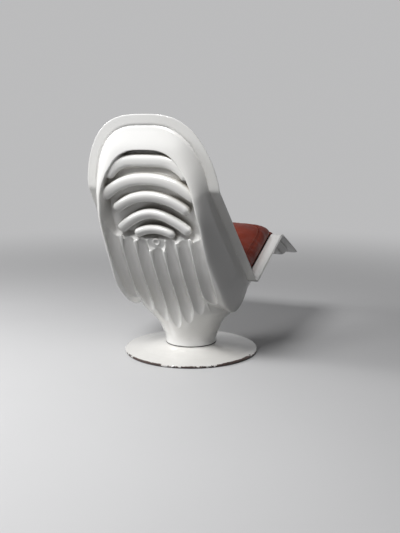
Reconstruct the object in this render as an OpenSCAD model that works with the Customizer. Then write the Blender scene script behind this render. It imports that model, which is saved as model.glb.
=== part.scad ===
// Swivel chaise longue: a moulded white shell with a fluted back stands on a
// funnel-shaped pedestal that turns on a low steel disc. Leather pads lie in the shell.
// The sitter faces -Y, Z is up, and the floor under the middle of the disc is the origin.

/* [Side line of the shell] */
// Distance of the seat valley behind the swivel axis
crotch_y = 55; // [45:1:65]
// Height of the rim at the seat valley
crotch_z = 331; // [325:1:345]
// Length of the head section along the rim
head_len = 290; // [280:1:300]
// Lean of the head section from upright
head_lean = 13.8; // [12:0.2:16]
// Length of the back section along the rim
back_len = 517; // [505:1:530]
// Lean of the back section from upright
back_lean = 38.6; // [37:0.2:40]
// Length of the thigh section along the rim
thigh_len = 452; // [430:1:470]
// Rise of the thigh section from level
thigh_rise = 18.7; // [17:0.2:20]
// Length of the leg section along the rim
leg_len = 325; // [300:1:340]
// Drop of the leg section from level
leg_drop = 23.4; // [20:0.2:26]

/* [Plan of the rim] */
// Width over the rim at the bend between head and back
head_w = 558; // [540:1:575]
// Width over the rim at the seat valley
crotch_w = 648; // [630:1:660]
// Width over the rim at the knee
knee_w = 600; // [585:1:615]
// Width over the rim at the foot end
foot_w = 580; // [560:1:600]
// Corner radius of the foot end
foot_r = 22; // [16:1:30]
// Width of the flat flange
flange_w = 41; // [38:1:44]

/* [Moulded shell] */
// Thickness of the rim flange
rim_t = 4; // [3:0.5:5]
// Wall of the moulded shell
shell_t = 5; // [4:0.5:6]
// Depth of the side bolsters behind the rim
bolster_depth = 154; // [150:1:158]
// Width of the slope from the flange to the nose of a bolster
bolster_w = 43; // [40:1:46]
// Width of the slope round the head at the sides
head_side_w = 60; // [56:1:64]
// Width of the slope at the top of the head
head_top_w = 77; // [72:1:80]
// Width of the rounded end of a bolster under the seat
lobe_w = 60; // [56:1:62]
// Width of the slope from the nose of a bolster into the recess
inner_w = 44; // [40:1:46]
// Depth of the thigh tray
thigh_depth = 50; // [47:1:54]
// Depth of the leg tray
leg_depth = 30; // [28:1:34]
// Width of the slope down the side of the trays
tray_w = 25; // [22:1:28]

/* [Arched bars and flutes] */
// Height of the round bars over the recess
bar_r = 20; // [18:0.5:22]
// Width of the round bars
bar_w = 47; // [44:1:50]
// Spacing of the bars down the back
bar_pitch = 63; // [61:1:65]
// Distance of the first bar from the top edge
bar_first = 171; // [168:1:174]
// Spacing of the flutes across the back
flute_pitch = 60; // [56:1:62]
// Depth of the flutes
flute_depth = 17; // [14:0.5:18]
// Width of the ridges between the flutes
ridge_w = 5; // [3:0.5:8]
// Radius of the round boss under the bars
boss_r = 18; // [15:0.5:20]

/* [Pedestal] */
// Radius of the neck of the pedestal
neck_r = 112; // [110:1:116]
// Height of the lower edge of the neck
neck_z = 41; // [40:0.5:44]
// Thickness of the bonded mounting board
board_t = 18; // [15:1:20]
// Height of the underside of the mounting board
board_z = 104; // [100:1:110]

/* [Base disc] */
// Radius of the base disc
disc_r = 290; // [280:1:300]
// Height of the outer edge of the disc
disc_edge_h = 7; // [6:0.5:9]
// Height of the crown of the disc
disc_top_z = 38; // [36:0.5:39]
// Wall of the cast disc
disc_t = 8; // [7:0.5:9]
// Thickness of the floor ring that stands proud of the disc
ring_proud = 3; // [2:0.5:4]

/* [Swivel] */
// Radius of the pivot post
post_r = 20; // [18:0.5:22]
// Height of the shoulder of the pivot post
post_top_z = 196; // [190:1:200]
// Wall of the swivel tube
tube_t = 6; // [5:0.5:7]
// Wall of the bushes
bush_t = 5; // [4:0.5:6]
// Radius of the bearing balls
ball_r = 3; // [2.5:0.5:3.5]
// Radius of the ring on which the balls run
ball_ring_r = 38; // [36:1:40]
// Radius of the shank of the fixing bolts
bolt_r = 4; // [3:0.5:5]

/* [Liner and pads] */
// Thickness of the inner liner
liner_t = 4; // [3:0.5:5]
// Distance of the liner's lip from the edge of the shell
lip_inset = 3; // [2:0.5:8]
// Height of the seat pad above the rim
seat_pad_h = 78; // [70:1:84]
// Height of the back pad above the rim
back_pad_h = 28; // [22:1:32]
// Height of the head pad above the rim
head_pad_h = 44; // [38:1:48]
// Height of the leg pad above the rim
leg_pad_h = 34; // [28:1:38]
// Thickness of the grip tape under the pads
tape_t = 2; // [1.5:0.5:3]

/* [Hidden] */
$fn = 64;

// Clearance between pieces that only lie near each other
fit = 0.3;
// Clearance of a pin or shaft in its hole
run_fit = 0.1;
// Overrun of a cut
over = 1;

// Stations are measured along the rim line from the top of the head
kink_s = head_len;
crotch_s = kink_s + back_len;
knee_s = crotch_s + thigh_len;
foot_s = knee_s + leg_len;

// Corners of the rim line in the side view
crotch_p = [crotch_y, crotch_z];
kink_p = crotch_p + back_len * [sin(back_lean), cos(back_lean)];
head_p = kink_p + head_len * [sin(head_lean), cos(head_lean)];
knee_p = crotch_p + thigh_len * [-cos(thigh_rise), sin(thigh_rise)];
foot_p = knee_p + leg_len * [-cos(leg_drop), -sin(leg_drop)];
side_p = [head_p, kink_p, crotch_p, knee_p, foot_p];
side_s = [0, kink_s, crotch_s, knee_s, foot_s];
// Half lengths of the soft bends at the five corners
bend = [0, head_len * 0.04, back_len * 0.05, thigh_len * 0.06, 0];

function unit(v) = v / norm(v);
function mix(a, b, u) = a + (b - a) * u;
function ease(u) = u <= 0 ? 0 : u >= 1 ? 1 : u * u * (3 - 2 * u);
function section(s) = s < kink_s ? 0 : s < crotch_s ? 1 : s < knee_s ? 2 : 3;

// Station at a share of one of the four sections
function at(sec, share) = mix(side_s[sec], side_s[sec + 1], share);

// Point of the rim line at a station, with the corners rounded by curves of second degree
function line_p(s, k) = side_p[k]
    + unit(side_p[k + 1] - side_p[k]) * (s - side_s[k]);
function corner_p(s, c, u) = (1 - u) * (1 - u) * line_p(side_s[c] - bend[c], c - 1)
    + 2 * u * (1 - u) * side_p[c] + u * u * line_p(side_s[c] + bend[c], c);
function near_corner(s) = [for (c = [1:3]) if (abs(s - side_s[c]) < bend[c]) c];
function rim_p(s) = let (c = near_corner(s))
    len(c) > 0 ? corner_p(s, c[0], (s - side_s[c[0]] + bend[c[0]]) / (2 * bend[c[0]]))
    : line_p(s, section(s));

// Direction in which the depth of the shell is measured, in degrees below the rear
turn_shares = [[0, 0.69, 0], [1, 0.174, 1], [1, 0.793, 1], [2, 0.051, 2], [2, 0.825, 2],
    [3, 0.25, 3], [3, 1, 3]];
turn_angles = [head_lean, back_lean, 90 + thigh_rise, 90 - leg_drop];
turn_s = [for (t = turn_shares) at(t[0], t[1])];
function turn_step(s, k) = k + 2 >= len(turn_s) || s <= turn_s[k + 1] ? k : turn_step(s, k + 1);
function depth_angle(s) = let (k = turn_step(s, 0))
    s <= turn_s[0] ? turn_angles[0]
    : mix(turn_angles[turn_shares[k][2]], turn_angles[turn_shares[k + 1][2]],
        ease((s - turn_s[k]) / (turn_s[k + 1] - turn_s[k])));
function depth_n(s) = let (a = depth_angle(s)) [cos(a), -sin(a)];

// Point in space at a station s, a half width x and a depth d behind the rim
function spot(s, x, d) = let (p = rim_p(s) + depth_n(s) * d) [x, p[0], p[1]];

// A table of depths is smoothed by a mean over nearby stations
soft_h = head_len * 0.035;
function soft(s, table) = let (w = [1, 2, 3, 2, 1])
    ([for (k = [0:4]) w[k] * lookup(s + (k - 2) * soft_h, table)] * [1, 1, 1, 1, 1]) / 9;

// Depth of the nose of the frame and bolsters: section, share of its length, share of the depth
nose_shares = [[0, 0.14, 0], [0, 0.40, 0.21], [0, 0.66, 0.34], [0, 1, 0.53], [1, 0.04, 0.63],
    [1, 0.08, 0.73], [1, 0.12, 0.78], [1, 0.27, 0.88], [1, 0.43, 0.92], [1, 0.58, 0.955],
    [1, 0.74, 0.99], [1, 0.94, 1], [1, 0.975, 0.93]];
nose_table = concat([for (t = nose_shares) [at(t[0], t[1]), t[2] * bolster_depth]],
    [[at(2, 0.05), thigh_depth], [at(2, 0.87), thigh_depth], [at(3, 0.18), leg_depth],
    [foot_s, leg_depth]]);
function nose_d(s) = max(0, soft(s, nose_table));

// Depth of the crests of the bars and flutes down the middle of the back
crest_shares = [[0, 0.22, 0.065], [0, 0.40, 0.155], [0, 0.57, 0.195], [0, 0.74, 0.26],
    [0, 0.91, 0.3], [1, 0, 0.31], [1, 0.04, 0.345], [1, 0.12, 0.45], [1, 0.27, 0.635],
    [1, 0.35, 0.73], [1, 0.5, 0.85], [1, 0.66, 0.948], [1, 0.77, 0.985], [1, 0.94, 1]];
crest_table = [for (t = crest_shares) [at(t[0], t[1]), t[2] * bolster_depth]];
function crest_d(s) = soft(s, crest_table);

// The recess lies under the crests of the bars and ends above the flutes
recess_depth = bar_r * 1.25;
recess_end_share = 0.31;
recess_run_share = 0.06;
function floor_d(s) = s > at(2, 0) ? nose_d(s)
    : let (low = crest_d(s) - recess_depth * (1 - ease((s - at(1, recess_end_share))
        / (back_len * recess_run_share))),
        well = ease((s - at(1, 0.84)) / (at(2, 0) - at(1, 0.84))))
    min(low, nose_d(s) - (nose_d(s) - thigh_depth) * 0.3 * well);

// Half width of the rim at a station on the sides
width_table = [[kink_s, head_w / 2], [crotch_s, crotch_w / 2], [knee_s, knee_w / 2],
    [foot_s, foot_w / 2]];
function rim_x(s) = soft(max(s, kink_s + 2 * soft_h), width_table)
    + (s < kink_s + 2 * soft_h ? (head_w - crotch_w) / 2 / back_len
        * (kink_s + 2 * soft_h - s) : 0);

// Half outline of the rim, set in by e = [at the top, at the sides, at the foot end]
head_steps = 14;
head_pow = 3;
side_pow = 1.6;
corner_steps = 4;
least_r = foot_r * 0.35;
foot_bow = foot_r * 0.12;
function head_half(e) = [for (k = [0:head_steps]) let (a = 90 * pow(k / head_steps, 1.5))
    [kink_s - (head_len - e[0]) * pow(cos(a), 2 / side_pow),
        (head_w / 2 - e[1]) * pow(sin(a), 2 / head_pow)]];
side_rows = concat([for (k = [1:10]) at(1, k * 0.04)], [for (k = [0:4]) at(1, 0.47 + k * 0.07)],
    [for (k = [0:13]) at(1, 0.8 + k * 0.022)],
    [for (k = [0:3]) at(2, 0.16 + k * 0.2)], [for (k = [0:4]) at(2, 0.86 + k * 0.035)]);
leg_row_shares = [0.04, 0.12, 0.2, 0.28, 0.6, 0.9];
function side_half(e) = concat([for (s = side_rows) if (s < knee_s) [s, rim_x(s) - e[1]]],
    [for (k = leg_row_shares) let (s = k < 0.5 ? knee_s + leg_len * k
        : mix(knee_s, foot_s - e[2] - corner_r(e), k)) [s, rim_x(s) - e[1]]]);
function corner_r(e) = max(foot_r - e[2], least_r);
function foot_half(e) = let (r = corner_r(e), c = [foot_s - e[2] - r, foot_w / 2 - e[1] - r])
    concat([for (k = [0:corner_steps]) let (a = 90 * k / corner_steps) c + r * [sin(a), cos(a)]],
        [for (u = [0.5, 0]) [foot_s - e[2] + foot_bow * (1 - u * u), c[1] * u]]);
function outline(e) = concat(head_half(e), side_half(e), foot_half(e));

// How far the inward direction points down the shell, 1 at the middle of the top edge
function topness(k) = k >= head_steps ? 0
    : pow(cos(90 * pow(k / head_steps, 1.5)), 2 / side_pow);

// A closed bowl from half rings of points, each from the middle of the top to the middle of the
// foot. The first and the last ring are closed by strips across the bowl.
module bowl(rings) {
    n = len(rings[0]);
    m = 2 * n - 2;
    pts = [for (r = rings) each concat(r, [for (k = [n - 2:-1:1]) [-r[k][0], r[k][1], r[k][2]]])];
    walls = [for (j = [0:len(rings) - 2]) for (k = [0:m - 1]) let (a = j * m + k,
        b = j * m + (k + 1) % m) each [[a, a + m, b + m], [a, b + m, b]]];
    polyhedron(pts, concat(walls, strip(0, n, m, false), strip((len(rings) - 1) * m, n, m, true)));
}
function strip(base, n, m, flip) = [for (k = [0:n - 2]) let (a = base + k, b = base + k + 1,
    c = base + (m - k - 1) % m, d = base + (m - k) % m)
    each (k == 0 ? [flipped([a, b, c], flip)] : k == n - 2 ? [flipped([a, b, d], flip)]
        : [flipped([a, b, c], flip), flipped([a, c, d], flip)])];
function flipped(t, flip) = flip ? [t[2], t[1], t[0]] : t;

// A closed tube from full rings of points
module loft(rings) {
    n = len(rings[0]);
    last = (len(rings) - 1) * n;
    walls = [for (j = [0:len(rings) - 2]) for (k = [0:n - 1]) let (a = j * n + k,
        b = j * n + (k + 1) % n) each [[a, b + n, b], [a, a + n, b + n]]];
    polyhedron([for (r = rings) each r], concat(walls, [for (k = [1:n - 2]) [0, k, k + 1]],
        [for (k = [1:n - 2]) [last, last + k + 1, last + k]]));
}

// Cross-section of the shell from the flange to the recess: share of the slope, share of the depth
slope_shares = [[0, 0], [0.12, 0.26], [0.28, 0.54], [0.48, 0.78], [0.72, 0.94], [1, 1]];
// The slope is wide round the head, narrower down the bolsters, wide again round their ends
// under the seat, and narrow on the trays
slope_table = [[0, head_side_w], [kink_s, head_side_w], [at(1, 0.16), bolster_w],
    [at(1, 0.8), bolster_w], [at(1, 0.92), lobe_w], [at(1, 0.98), lobe_w],
    [at(2, 0.08), tray_w], [foot_s, tray_w]];
inner_table = [[0, head_side_w * 0.15], [at(0, 0.9), head_side_w * 0.15], [at(1, 0.14), inner_w],
    [at(1, 0.92), inner_w], [at(2, 0.08), tray_w], [foot_s, tray_w]];
function slope_w(s) = soft(s, slope_table);
function inner_slope_w(s) = soft(s, inner_table);
inner_shares = [[0.25, 0.12], [0.6, 0.55], [1, 1]];

// One half ring of the shell's rear face, with grow as the inward offset of the surface
function ring_at(e, grow, depth) = let (o = outline(e)) [for (k = [0:len(o) - 1])
    spot(o[k][0], o[k][1], depth(o[k][0], topness(k)) - grow)];
function slope_ring(sh, grow) = let (o = outline([flange_w, flange_w, flange_w]))
    [for (k = [0:len(o) - 1]) let (w = slope_w(o[k][0]) * sh[0] + grow,
        top = head_top_w * sh[0] + grow,
        q = outline([flange_w + top, flange_w + w, flange_w + w])[k],
        share = sh[0] == 0 ? 0 : mix(sh[1], 1, pow(topness(k), 3)))
        spot(q[0], q[1], nose_d(q[0]) * share - grow * share)];
// The wall in the recess is thick enough for the flutes
function recess_wall(s) = shell_t + flute_depth
    * min(ease((s - at(1, 0.12)) / (back_len * 0.15)), ease((at(2, 0.06) - s) / (back_len * 0.1)));
function recess_ring(sh, hollow) = let (o = outline([flange_w, flange_w, flange_w]))
    [for (k = [0:len(o) - 1]) let (w = slope_w(o[k][0]) + inner_slope_w(o[k][0]) * sh[0],
        top = head_top_w + head_side_w * 0.15 * sh[0],
        in = hollow * recess_wall(o[k][0]),
        q = outline([flange_w + top - in, flange_w + w - in, flange_w + w - in])[k],
        d = mix(nose_d(q[0]), floor_d(q[0]), sh[1]))
        spot(q[0], q[1], d - hollow * recess_wall(q[0]))];

module tub_body() {
    edge = outline([0, 0, 0]);
    bowl(concat([[for (q = edge) spot(q[0], q[1], -rim_t)], [for (q = edge) spot(q[0], q[1], 0)]],
        [for (sh = slope_shares) slope_ring(sh, 0)],
        [for (sh = inner_shares) recess_ring(sh, 0)]));
}

module tub_void() {
    e = flange_w + shell_t;
    edge = outline([e, e, e]);
    bowl(concat([[for (q = edge) spot(q[0] + bar_r, q[1], -rim_t - 2 * bar_r)]],
        [for (k = [0, 2, 4]) slope_ring(slope_shares[k], shell_t)],
        [for (k = [1, 2]) recess_ring(inner_shares[k], 1)]));
}

// Funnel of the pedestal. Each row is a level as a share of the height from the neck to the
// rim at the valley, then the rear, front and side reach as shares of the neck radius,
// and the squareness of the plan.
funnel_shares = [[0, 1, 1, 1, 2], [0.07, 1.003, 1.003, 1.003, 2], [0.14, 1.05, 1.05, 1.05, 2],
    [0.19, 1.11, 1.11, 1.11, 2], [0.29, 1.22, 1.22, 1.22, 2], [0.375, 1.32, 1.28, 1.38, 2.1],
    [0.47, 1.44, 1.36, 1.6, 2.3], [0.55, 1.56, 1.42, 1.76, 2.6], [0.63, 1.65, 1.52, 1.8, 3],
    [0.735, 1.78, 1.64, 1.84, 3.5], [0.82, 1.93, 1.75, 1.87, 4], [0.94, 2.12, 1.86, 1.87, 4],
    [1.02, 2.2, 1.93, 1.87, 4]];
funnel_sides = 40;
function power(v, p) = sign(v) * pow(abs(v), p);
function funnel_ring(f, grow, drop) = let (z = mix(neck_z, crotch_z, f[0]) - drop,
    rear = f[1] * neck_r - grow, front = f[2] * neck_r - grow, side = f[3] * neck_r - grow)
    [for (k = [0:funnel_sides - 1]) let (a = 360 * k / funnel_sides, c = power(cos(a), 2 / f[4]),
        q = power(sin(a), 2 / f[4])) [side * c, (rear - front) / 2 + (rear + front) / 2 * q, z]];
module funnel_body() loft([for (f = funnel_shares) funnel_ring(f, 0, 0)]);
module funnel_void() {
    last = len(funnel_shares) - 1;
    loft([for (k = [0:last]) funnel_ring(funnel_shares[k],
        shell_t + flute_depth * ease((k - 4) / 2), k == 0 ? over : k == last ? shell_t : 0)]);
}

// The arched bars from the top one down: place down the back as shares of the spacing, half
// span and drop at the ends as shares of the head width, and size as a share of the widest.
// The power of the curve makes the top bars flat in the middle.
bar_place_shares = [0, 1.08, 2.05, 3.05, 4.02];
bar_half_shares = [0.283, 0.33, 0.254, 0.245, 0.122];
bar_drop_shares = [0.086, 0.104, 0.08, 0.107, 0.0275];
bar_size_shares = [0.98, 0.94, 0.86, 0.83, 0.75];
bar_power = [3.7, 2.25, 2, 1.8, 2];
bar_steps = [7, 8, 6, 7, 5];
module bead(s, x, r) translate(spot(s, x, crest_d(s) - r)) sphere(r, $fn = 12);
module arched_bar(k) {
    r = bar_r * bar_size_shares[k];
    out = bar_w / 2 * bar_size_shares[k] - r;
    function bar_at(j) = let (u = sin(90 * (2 * j / bar_steps[k] - 1)))
        [bar_first + bar_place_shares[k] * bar_pitch
            + bar_drop_shares[k] * head_w * pow(abs(u), bar_power[k]),
            bar_half_shares[k] * head_w * u];
    for (j = [0:bar_steps[k] - 1]) hull() {
        for (q = [bar_at(j), bar_at(j + 1)], side = [-1, 1]) bead(q[0] + side * out, q[1], r);
    }
}

// Flutes are cut by round bars that follow the back and lift off the funnel
flute_w = flute_pitch - ridge_w;
flute_cut_r = (flute_w * flute_w / 4 + flute_depth * flute_depth) / (2 * flute_depth);
flute_start_shares = [0.44, 0.345, 0.325, 0.335];
funnel_line = [for (k = [9, 8, 7, 6, 5, 4]) let (f = funnel_shares[k])
    [f[1] * neck_r, mix(neck_z, crotch_z, f[0])]];
flute_lift_shares = [0, 0.04, 0.16, 0.38, 0.68, 1.1];
flute_lift_dir = unit([1, -0.35]);
function flute_line(k) = let (s0 = at(1, flute_start_shares[k]), s1 = at(1, 0.77),
    steps = k == 3 ? 5 : 4) concat(
    [for (j = [0:steps]) let (s = mix(s0, s1, j / steps), n = depth_n(s))
        rim_p(s) + n * (crest_d(s) - flute_depth + flute_cut_r)],
    [for (j = [0:len(funnel_line) - 1]) funnel_line[j] + flute_lift_dir
        * (flute_cut_r - flute_depth + flute_depth * flute_lift_shares[j])]);
module flute(k, side) {
    p = flute_line(k);
    for (j = [0:len(p) - 2]) hull() {
        for (q = [p[j], p[j + 1]])
            translate([side * k * flute_pitch, q[0], q[1]]) sphere(flute_cut_r, $fn = 20);
    }
}

// The ridges between the flutes start as rounded nubs that taper down the back
nub_start_shares = [0.4, 0.345, 0.3];
nub_r = ridge_w * 1.8;
nub_len = back_len * 0.09;
module ridge_nub(k, side) {
    s = at(1, nub_start_shares[k]);
    x = side * (k + 0.5) * flute_pitch;
    hull() {
        bead(s, x, nub_r);
        bead(s + nub_len, x, ridge_w * 0.6);
    }
}

boss_s = at(1, 0.365);
boss_h = boss_r * 0.5;
crest_tilt = atan((crest_d(boss_s + soft_h) - crest_d(boss_s - soft_h)) / (2 * soft_h));
module on_back(s, d) translate(spot(s, 0, d))
    rotate([crest_tilt - 90 - depth_angle(s), 0, 0]) children();
module boss() on_back(boss_s, crest_d(boss_s) - bar_r) difference() {
    translate([0, 0, -boss_h]) cylinder(2 * boss_h, boss_r, boss_r * 0.85, $fn = 24);
    translate([0, 0, boss_h + boss_r * 0.35]) sphere(boss_r * 0.75, $fn = 24);
}
// The round hollow in which the boss stands
module boss_hollow() on_back(boss_s, crest_d(boss_s) - bar_r * 0.8)
    cylinder(2 * bar_r, boss_r * 1.9, boss_r * 3.6, $fn = 32);

module outer_shell() color("whitesmoke") difference() {
    union() {
        difference() {
            union() {
                tub_body();
                funnel_body();
            }
            for (k = [0:3]) for (side = [-1, 1]) if (k > 0 || side > 0) flute(k, side);
            boss_hollow();
        }
        for (k = [0:len(bar_place_shares) - 1]) arched_bar(k);
        for (k = [0:len(nub_start_shares) - 1]) for (side = [-1, 1]) ridge_nub(k, side);
        boss();
    }
    tub_void();
    funnel_void();
}

// Depth of the liner's front face behind the rim
lip_d = -rim_t - liner_t - fit;
liner_shares = [[0, 0.52, 0], [0, 0.74, 0.13], [1, 0, 0.26], [1, 0.12, 0.42], [1, 0.27, 0.7],
    [1, 0.55, 0.88], [1, 0.95, 0.9], [2, 0.05, 0.56]];
liner_depth = bolster_depth * 0.44;
tray_floor = thigh_depth - shell_t - liner_t - rim_t;
leg_floor = leg_depth - shell_t - liner_t - rim_t * 0.75;
liner_table = concat([for (t = liner_shares) [at(t[0], t[1]), lip_d + t[2] * (liner_depth - lip_d)]],
    [[at(2, 0.1), tray_floor], [at(2, 0.86), tray_floor], [at(3, 0.18), leg_floor],
    [foot_s, leg_floor]]);
function liner_d(s) = soft(s, liner_table);

// Cross-section of the liner: distance inward of the fold, share of the depth
liner_wall = bolster_w * 0.8;
liner_fold = flange_w + shell_t * 1.6;
liner_wall_shares = [[0, 0], [0.25, 0.45], [0.6, 0.85], [1, 1]];
function liner_end(e) = mix(liner_fold, e, e > liner_fold ? 0.55 : 1);
// Half width at a station, e in from the edge of the rim
function inner_x(s, e) = s >= kink_s ? rim_x(s) - e : (head_w / 2 - e)
    * pow(max(0, 1 - pow((kink_s - s) / (head_len - flange_w * 1.4), side_pow)), 1 / head_pow);
function liner_ring(e, sh, back) = [for (q = outline([e, e, liner_end(e)]))
    spot(q[0], q[1], mix(lip_d, liner_d(q[0]), sh) + back)];
module inner_liner() color("whitesmoke") bowl(concat(
    [for (k = [3:-1:0]) liner_ring(liner_fold + liner_t + liner_wall * liner_wall_shares[k][0],
        liner_wall_shares[k][1], 0)],
    [liner_ring(lip_inset, 0, 0), liner_ring(lip_inset, 0, liner_t)],
    [for (st = liner_wall_shares) liner_ring(liner_fold + liner_wall * st[0], st[1], liner_t)]));

// A pad lies on the liner from station s0 to s1. Each row is a closed ring: the flat underside,
// the side that follows the liner, and the crowned top.
pad_rows = 16;
pad_top_shares = [[1, 0.12], [0.975, 0.42], [0.9, 0.68], [0.76, 0.86], [0.4, 0.98], [0, 1]];
function pad_half(s, s0, s1, high, inset) = let (u = (s - s0) / (s1 - s0),
    end = pow(max(0, 1 - pow(abs(2 * u - 1), 7)), 0.45), low = liner_d(s) - tape_t - fit,
    wide = inner_x(s, liner_fold + liner_t * 1.4 + inset + flange_w * 0.1 * (1 - end)),
    top = -high * (0.3 + 0.7 * end) - rim_t)
    concat([[0, low]], [for (k = [3:-1:1]) let (w = liner_wall_shares[k])
        [wide - liner_wall * w[0], mix(lip_d - tape_t, liner_d(s), w[1]) - tape_t - fit]],
        [for (q = pad_top_shares) [wide * q[0], mix(min(low, lip_d) - 2 * tape_t, top, q[1])]]);
function pad_ring(s, half) = concat([for (q = half) spot(s, q[0], q[1])],
    [for (k = [len(half) - 2:-1:1]) spot(s, -half[k][0], half[k][1])]);
module pad(s0, s1, high, inset) loft([for (j = [0:pad_rows]) let (u = j / pad_rows,
    v = 0.5 - 0.5 * cos(180 * u), s = mix(s0, s1, mix(u, v, 0.6)))
    pad_ring(s, pad_half(s, s0, s1, high, inset))]);
pad_gap = flange_w * 0.12;
head_pad_s = [flange_w * 1.6, kink_s - pad_gap];
back_pad_s = [kink_s + pad_gap, crotch_s - back_len * 0.1];
seat_pad_s = [crotch_s - back_len * 0.085, knee_s - pad_gap * 1.5];
leg_pad_s = [knee_s + pad_gap * 1.5, foot_s - liner_end(liner_fold + liner_t * 2 + liner_wall)];
module head_pad() color("saddlebrown") pad(head_pad_s[0], head_pad_s[1], head_pad_h, 0);
module back_pad() color("saddlebrown") pad(back_pad_s[0], back_pad_s[1], back_pad_h, 0);
module seat_pad() color("saddlebrown") pad(seat_pad_s[0], seat_pad_s[1], seat_pad_h, 0);
module leg_pad() color("saddlebrown") pad(leg_pad_s[0], leg_pad_s[1], leg_pad_h, 0);

// Strips of grip tape hold the pads on the flat parts of the liner
tape_w = flange_w * 0.6;
tape_x = head_w * 0.14;
tape_shares = [[0, 0.28, 0.14], [1, 0.61, 0.13], [2, 0.3, 0.45], [3, 0.35, 0.3]];
module grip_tapes() color("dimgray") for (t = tape_shares) for (side = [-1, 1]) {
    s = at(t[0], t[1]);
    long = (side_s[t[0] + 1] - side_s[t[0]]) * t[2];
    a = spot(s, 0, liner_d(s));
    b = spot(s + long, 0, liner_d(s + long));
    translate([side * tape_x - tape_w / 2, a[1], a[2]])
        rotate([atan2(b[2] - a[2], b[1] - a[1]), 0, 0]) translate([0, 0, -tape_t])
            cube([tape_w, norm(b - a), tape_t]);
}

// Base disc, a dome of cast iron with a boss for the post
boss_z = disc_top_z - disc_t * 2.6;
hub_boss_r = ball_ring_r * 1.8;
flat_r = neck_r * 0.96;
module base_disc() color("gainsboro") difference() {
    rotate_extrude($fn = 128) polygon([[post_r + run_fit, boss_z], [hub_boss_r, boss_z],
        [hub_boss_r, disc_top_z - disc_t], [flat_r, disc_top_z - disc_t],
        [disc_r - disc_t * 2, disc_edge_h + ring_proud - disc_edge_h * 0.55],
        [disc_r - disc_t * 1.2, ring_proud], [disc_r - rim_t * 0.2, ring_proud],
        [disc_r, ring_proud + rim_t * 0.2], [disc_r, ring_proud + disc_edge_h - rim_t * 0.3],
        [disc_r - rim_t * 0.3, ring_proud + disc_edge_h],
        [mix(flat_r, disc_r, 0.6), mix(disc_top_z, ring_proud + disc_edge_h, 0.64)],
        [flat_r, disc_top_z], [post_r + run_fit, disc_top_z]]);
    for (k = [0:3]) rotate(90 * k + 45) translate([screw_ring_r, 0, boss_z - over])
        cylinder(screw_len, r = bolt_r + run_fit);
}
// A rubber ring glued under the rim of the disc
module floor_ring() color("black") rotate_extrude($fn = 128)
    translate([disc_r - disc_t * 1.1, 0]) square([disc_t * 0.8, ring_proud]);

// Post with a foot flange, bolted up into the boss from below
foot_flange_t = bolt_r * 2;
foot_flange_r = hub_boss_r * 0.86;
screw_ring_r = mix(post_r, foot_flange_r, 0.55);
screw_len = disc_t * 2;
thread_r = post_r * 0.6;
nut_t = thread_r * 0.9;
washer_t = tube_t * 0.6;
module pivot_post() color("silver") difference() {
    union() {
        translate([0, 0, boss_z - foot_flange_t]) cylinder(foot_flange_t, r = foot_flange_r);
        translate([0, 0, boss_z - foot_flange_t])
            cylinder(post_top_z - boss_z + foot_flange_t, r = post_r);
        translate([0, 0, post_top_z - over])
            cylinder(over + washer_t + nut_t * 1.5, r = thread_r);
    }
    for (k = [0:3]) rotate(90 * k + 45) translate([screw_ring_r, 0, 0]) {
        translate([0, 0, boss_z - foot_flange_t - over])
            cylinder(foot_flange_t + 2 * over, r = bolt_r + run_fit);
        translate([0, 0, boss_z - foot_flange_t - over])
            cylinder(screw_head_t + over, r = screw_head_r + fit);
    }
}
screw_head_r = bolt_r * 1.6;
screw_head_t = bolt_r;
module post_screws() color("dimgray") for (k = [0:3]) rotate(90 * k + 45)
    translate([screw_ring_r, 0, boss_z - foot_flange_t]) {
        cylinder(screw_head_t, r = screw_head_r);
        cylinder(foot_flange_t + screw_len - 2 * over, r = bolt_r);
    }

// Ball bearing between the boss and the swivel hub
race_t = ball_r * 0.7;
race_w = ball_r * 1.8;
module race(z) translate([0, 0, z]) rotate_extrude() translate([ball_ring_r - race_w, 0])
    square([2 * race_w, race_t]);
ball_z = disc_top_z + race_t + ball_r;
balls = 16;
module lower_race() color("silver") race(disc_top_z);
module upper_race() color("silver") race(ball_z + ball_r + run_fit);
module bearing_balls() color("silver") for (k = [0:balls - 1]) rotate(360 * k / balls)
    translate([ball_ring_r, 0, ball_z]) sphere(ball_r);
module ball_cage() color("khaki") difference() {
    translate([0, 0, ball_z - ball_r * 0.45]) rotate_extrude()
        translate([ball_ring_r - race_w, 0]) square([2 * race_w, ball_r * 0.9]);
    for (k = [0:balls - 1]) rotate(360 * k / balls) translate([ball_ring_r, 0, 0])
        cylinder(ball_z + ball_r, r = ball_r + run_fit);
}

// Swivel hub: a tube with a foot on the bearing and a flange under the mounting board
hub_z = ball_z + ball_r + run_fit + race_t;
bush_r = post_r + run_fit + bush_t;
bore_r = bush_r + run_fit;
hub_r = bore_r + tube_t;
bush_len = post_r * 1.5;
bush_lip = bush_t * 0.6;
lip_r = mix(bush_r, hub_r, 0.6);
hub_top_z = post_top_z - bush_lip - run_fit;
hub_foot_r = ball_ring_r + race_w;
hub_flange_r = neck_r * 0.82;
hub_flange_t = bolt_r * 1.5;
hub_bolt_ring_r = mix(hub_r, hub_flange_r, 0.6);
hub_bolts_n = 6;
module hub_places() for (k = [1:hub_bolts_n]) rotate(360 * k / hub_bolts_n)
    translate([hub_bolt_ring_r, 0, 0]) children();
module swivel_hub() color("dimgray") difference() {
    rotate_extrude() polygon([[bore_r, hub_z], [hub_foot_r, hub_z], [hub_foot_r, hub_z + tube_t],
        [hub_r, hub_z + tube_t], [hub_r, board_z - hub_flange_t],
        [hub_flange_r, board_z - hub_flange_t], [hub_flange_r, board_z], [hub_r, board_z],
        [hub_r, hub_top_z], [bore_r, hub_top_z]]);
    hub_places() translate([0, 0, board_z - hub_flange_t - over])
        cylinder(hub_flange_t + 2 * over, r = bolt_r + run_fit);
}
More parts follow.
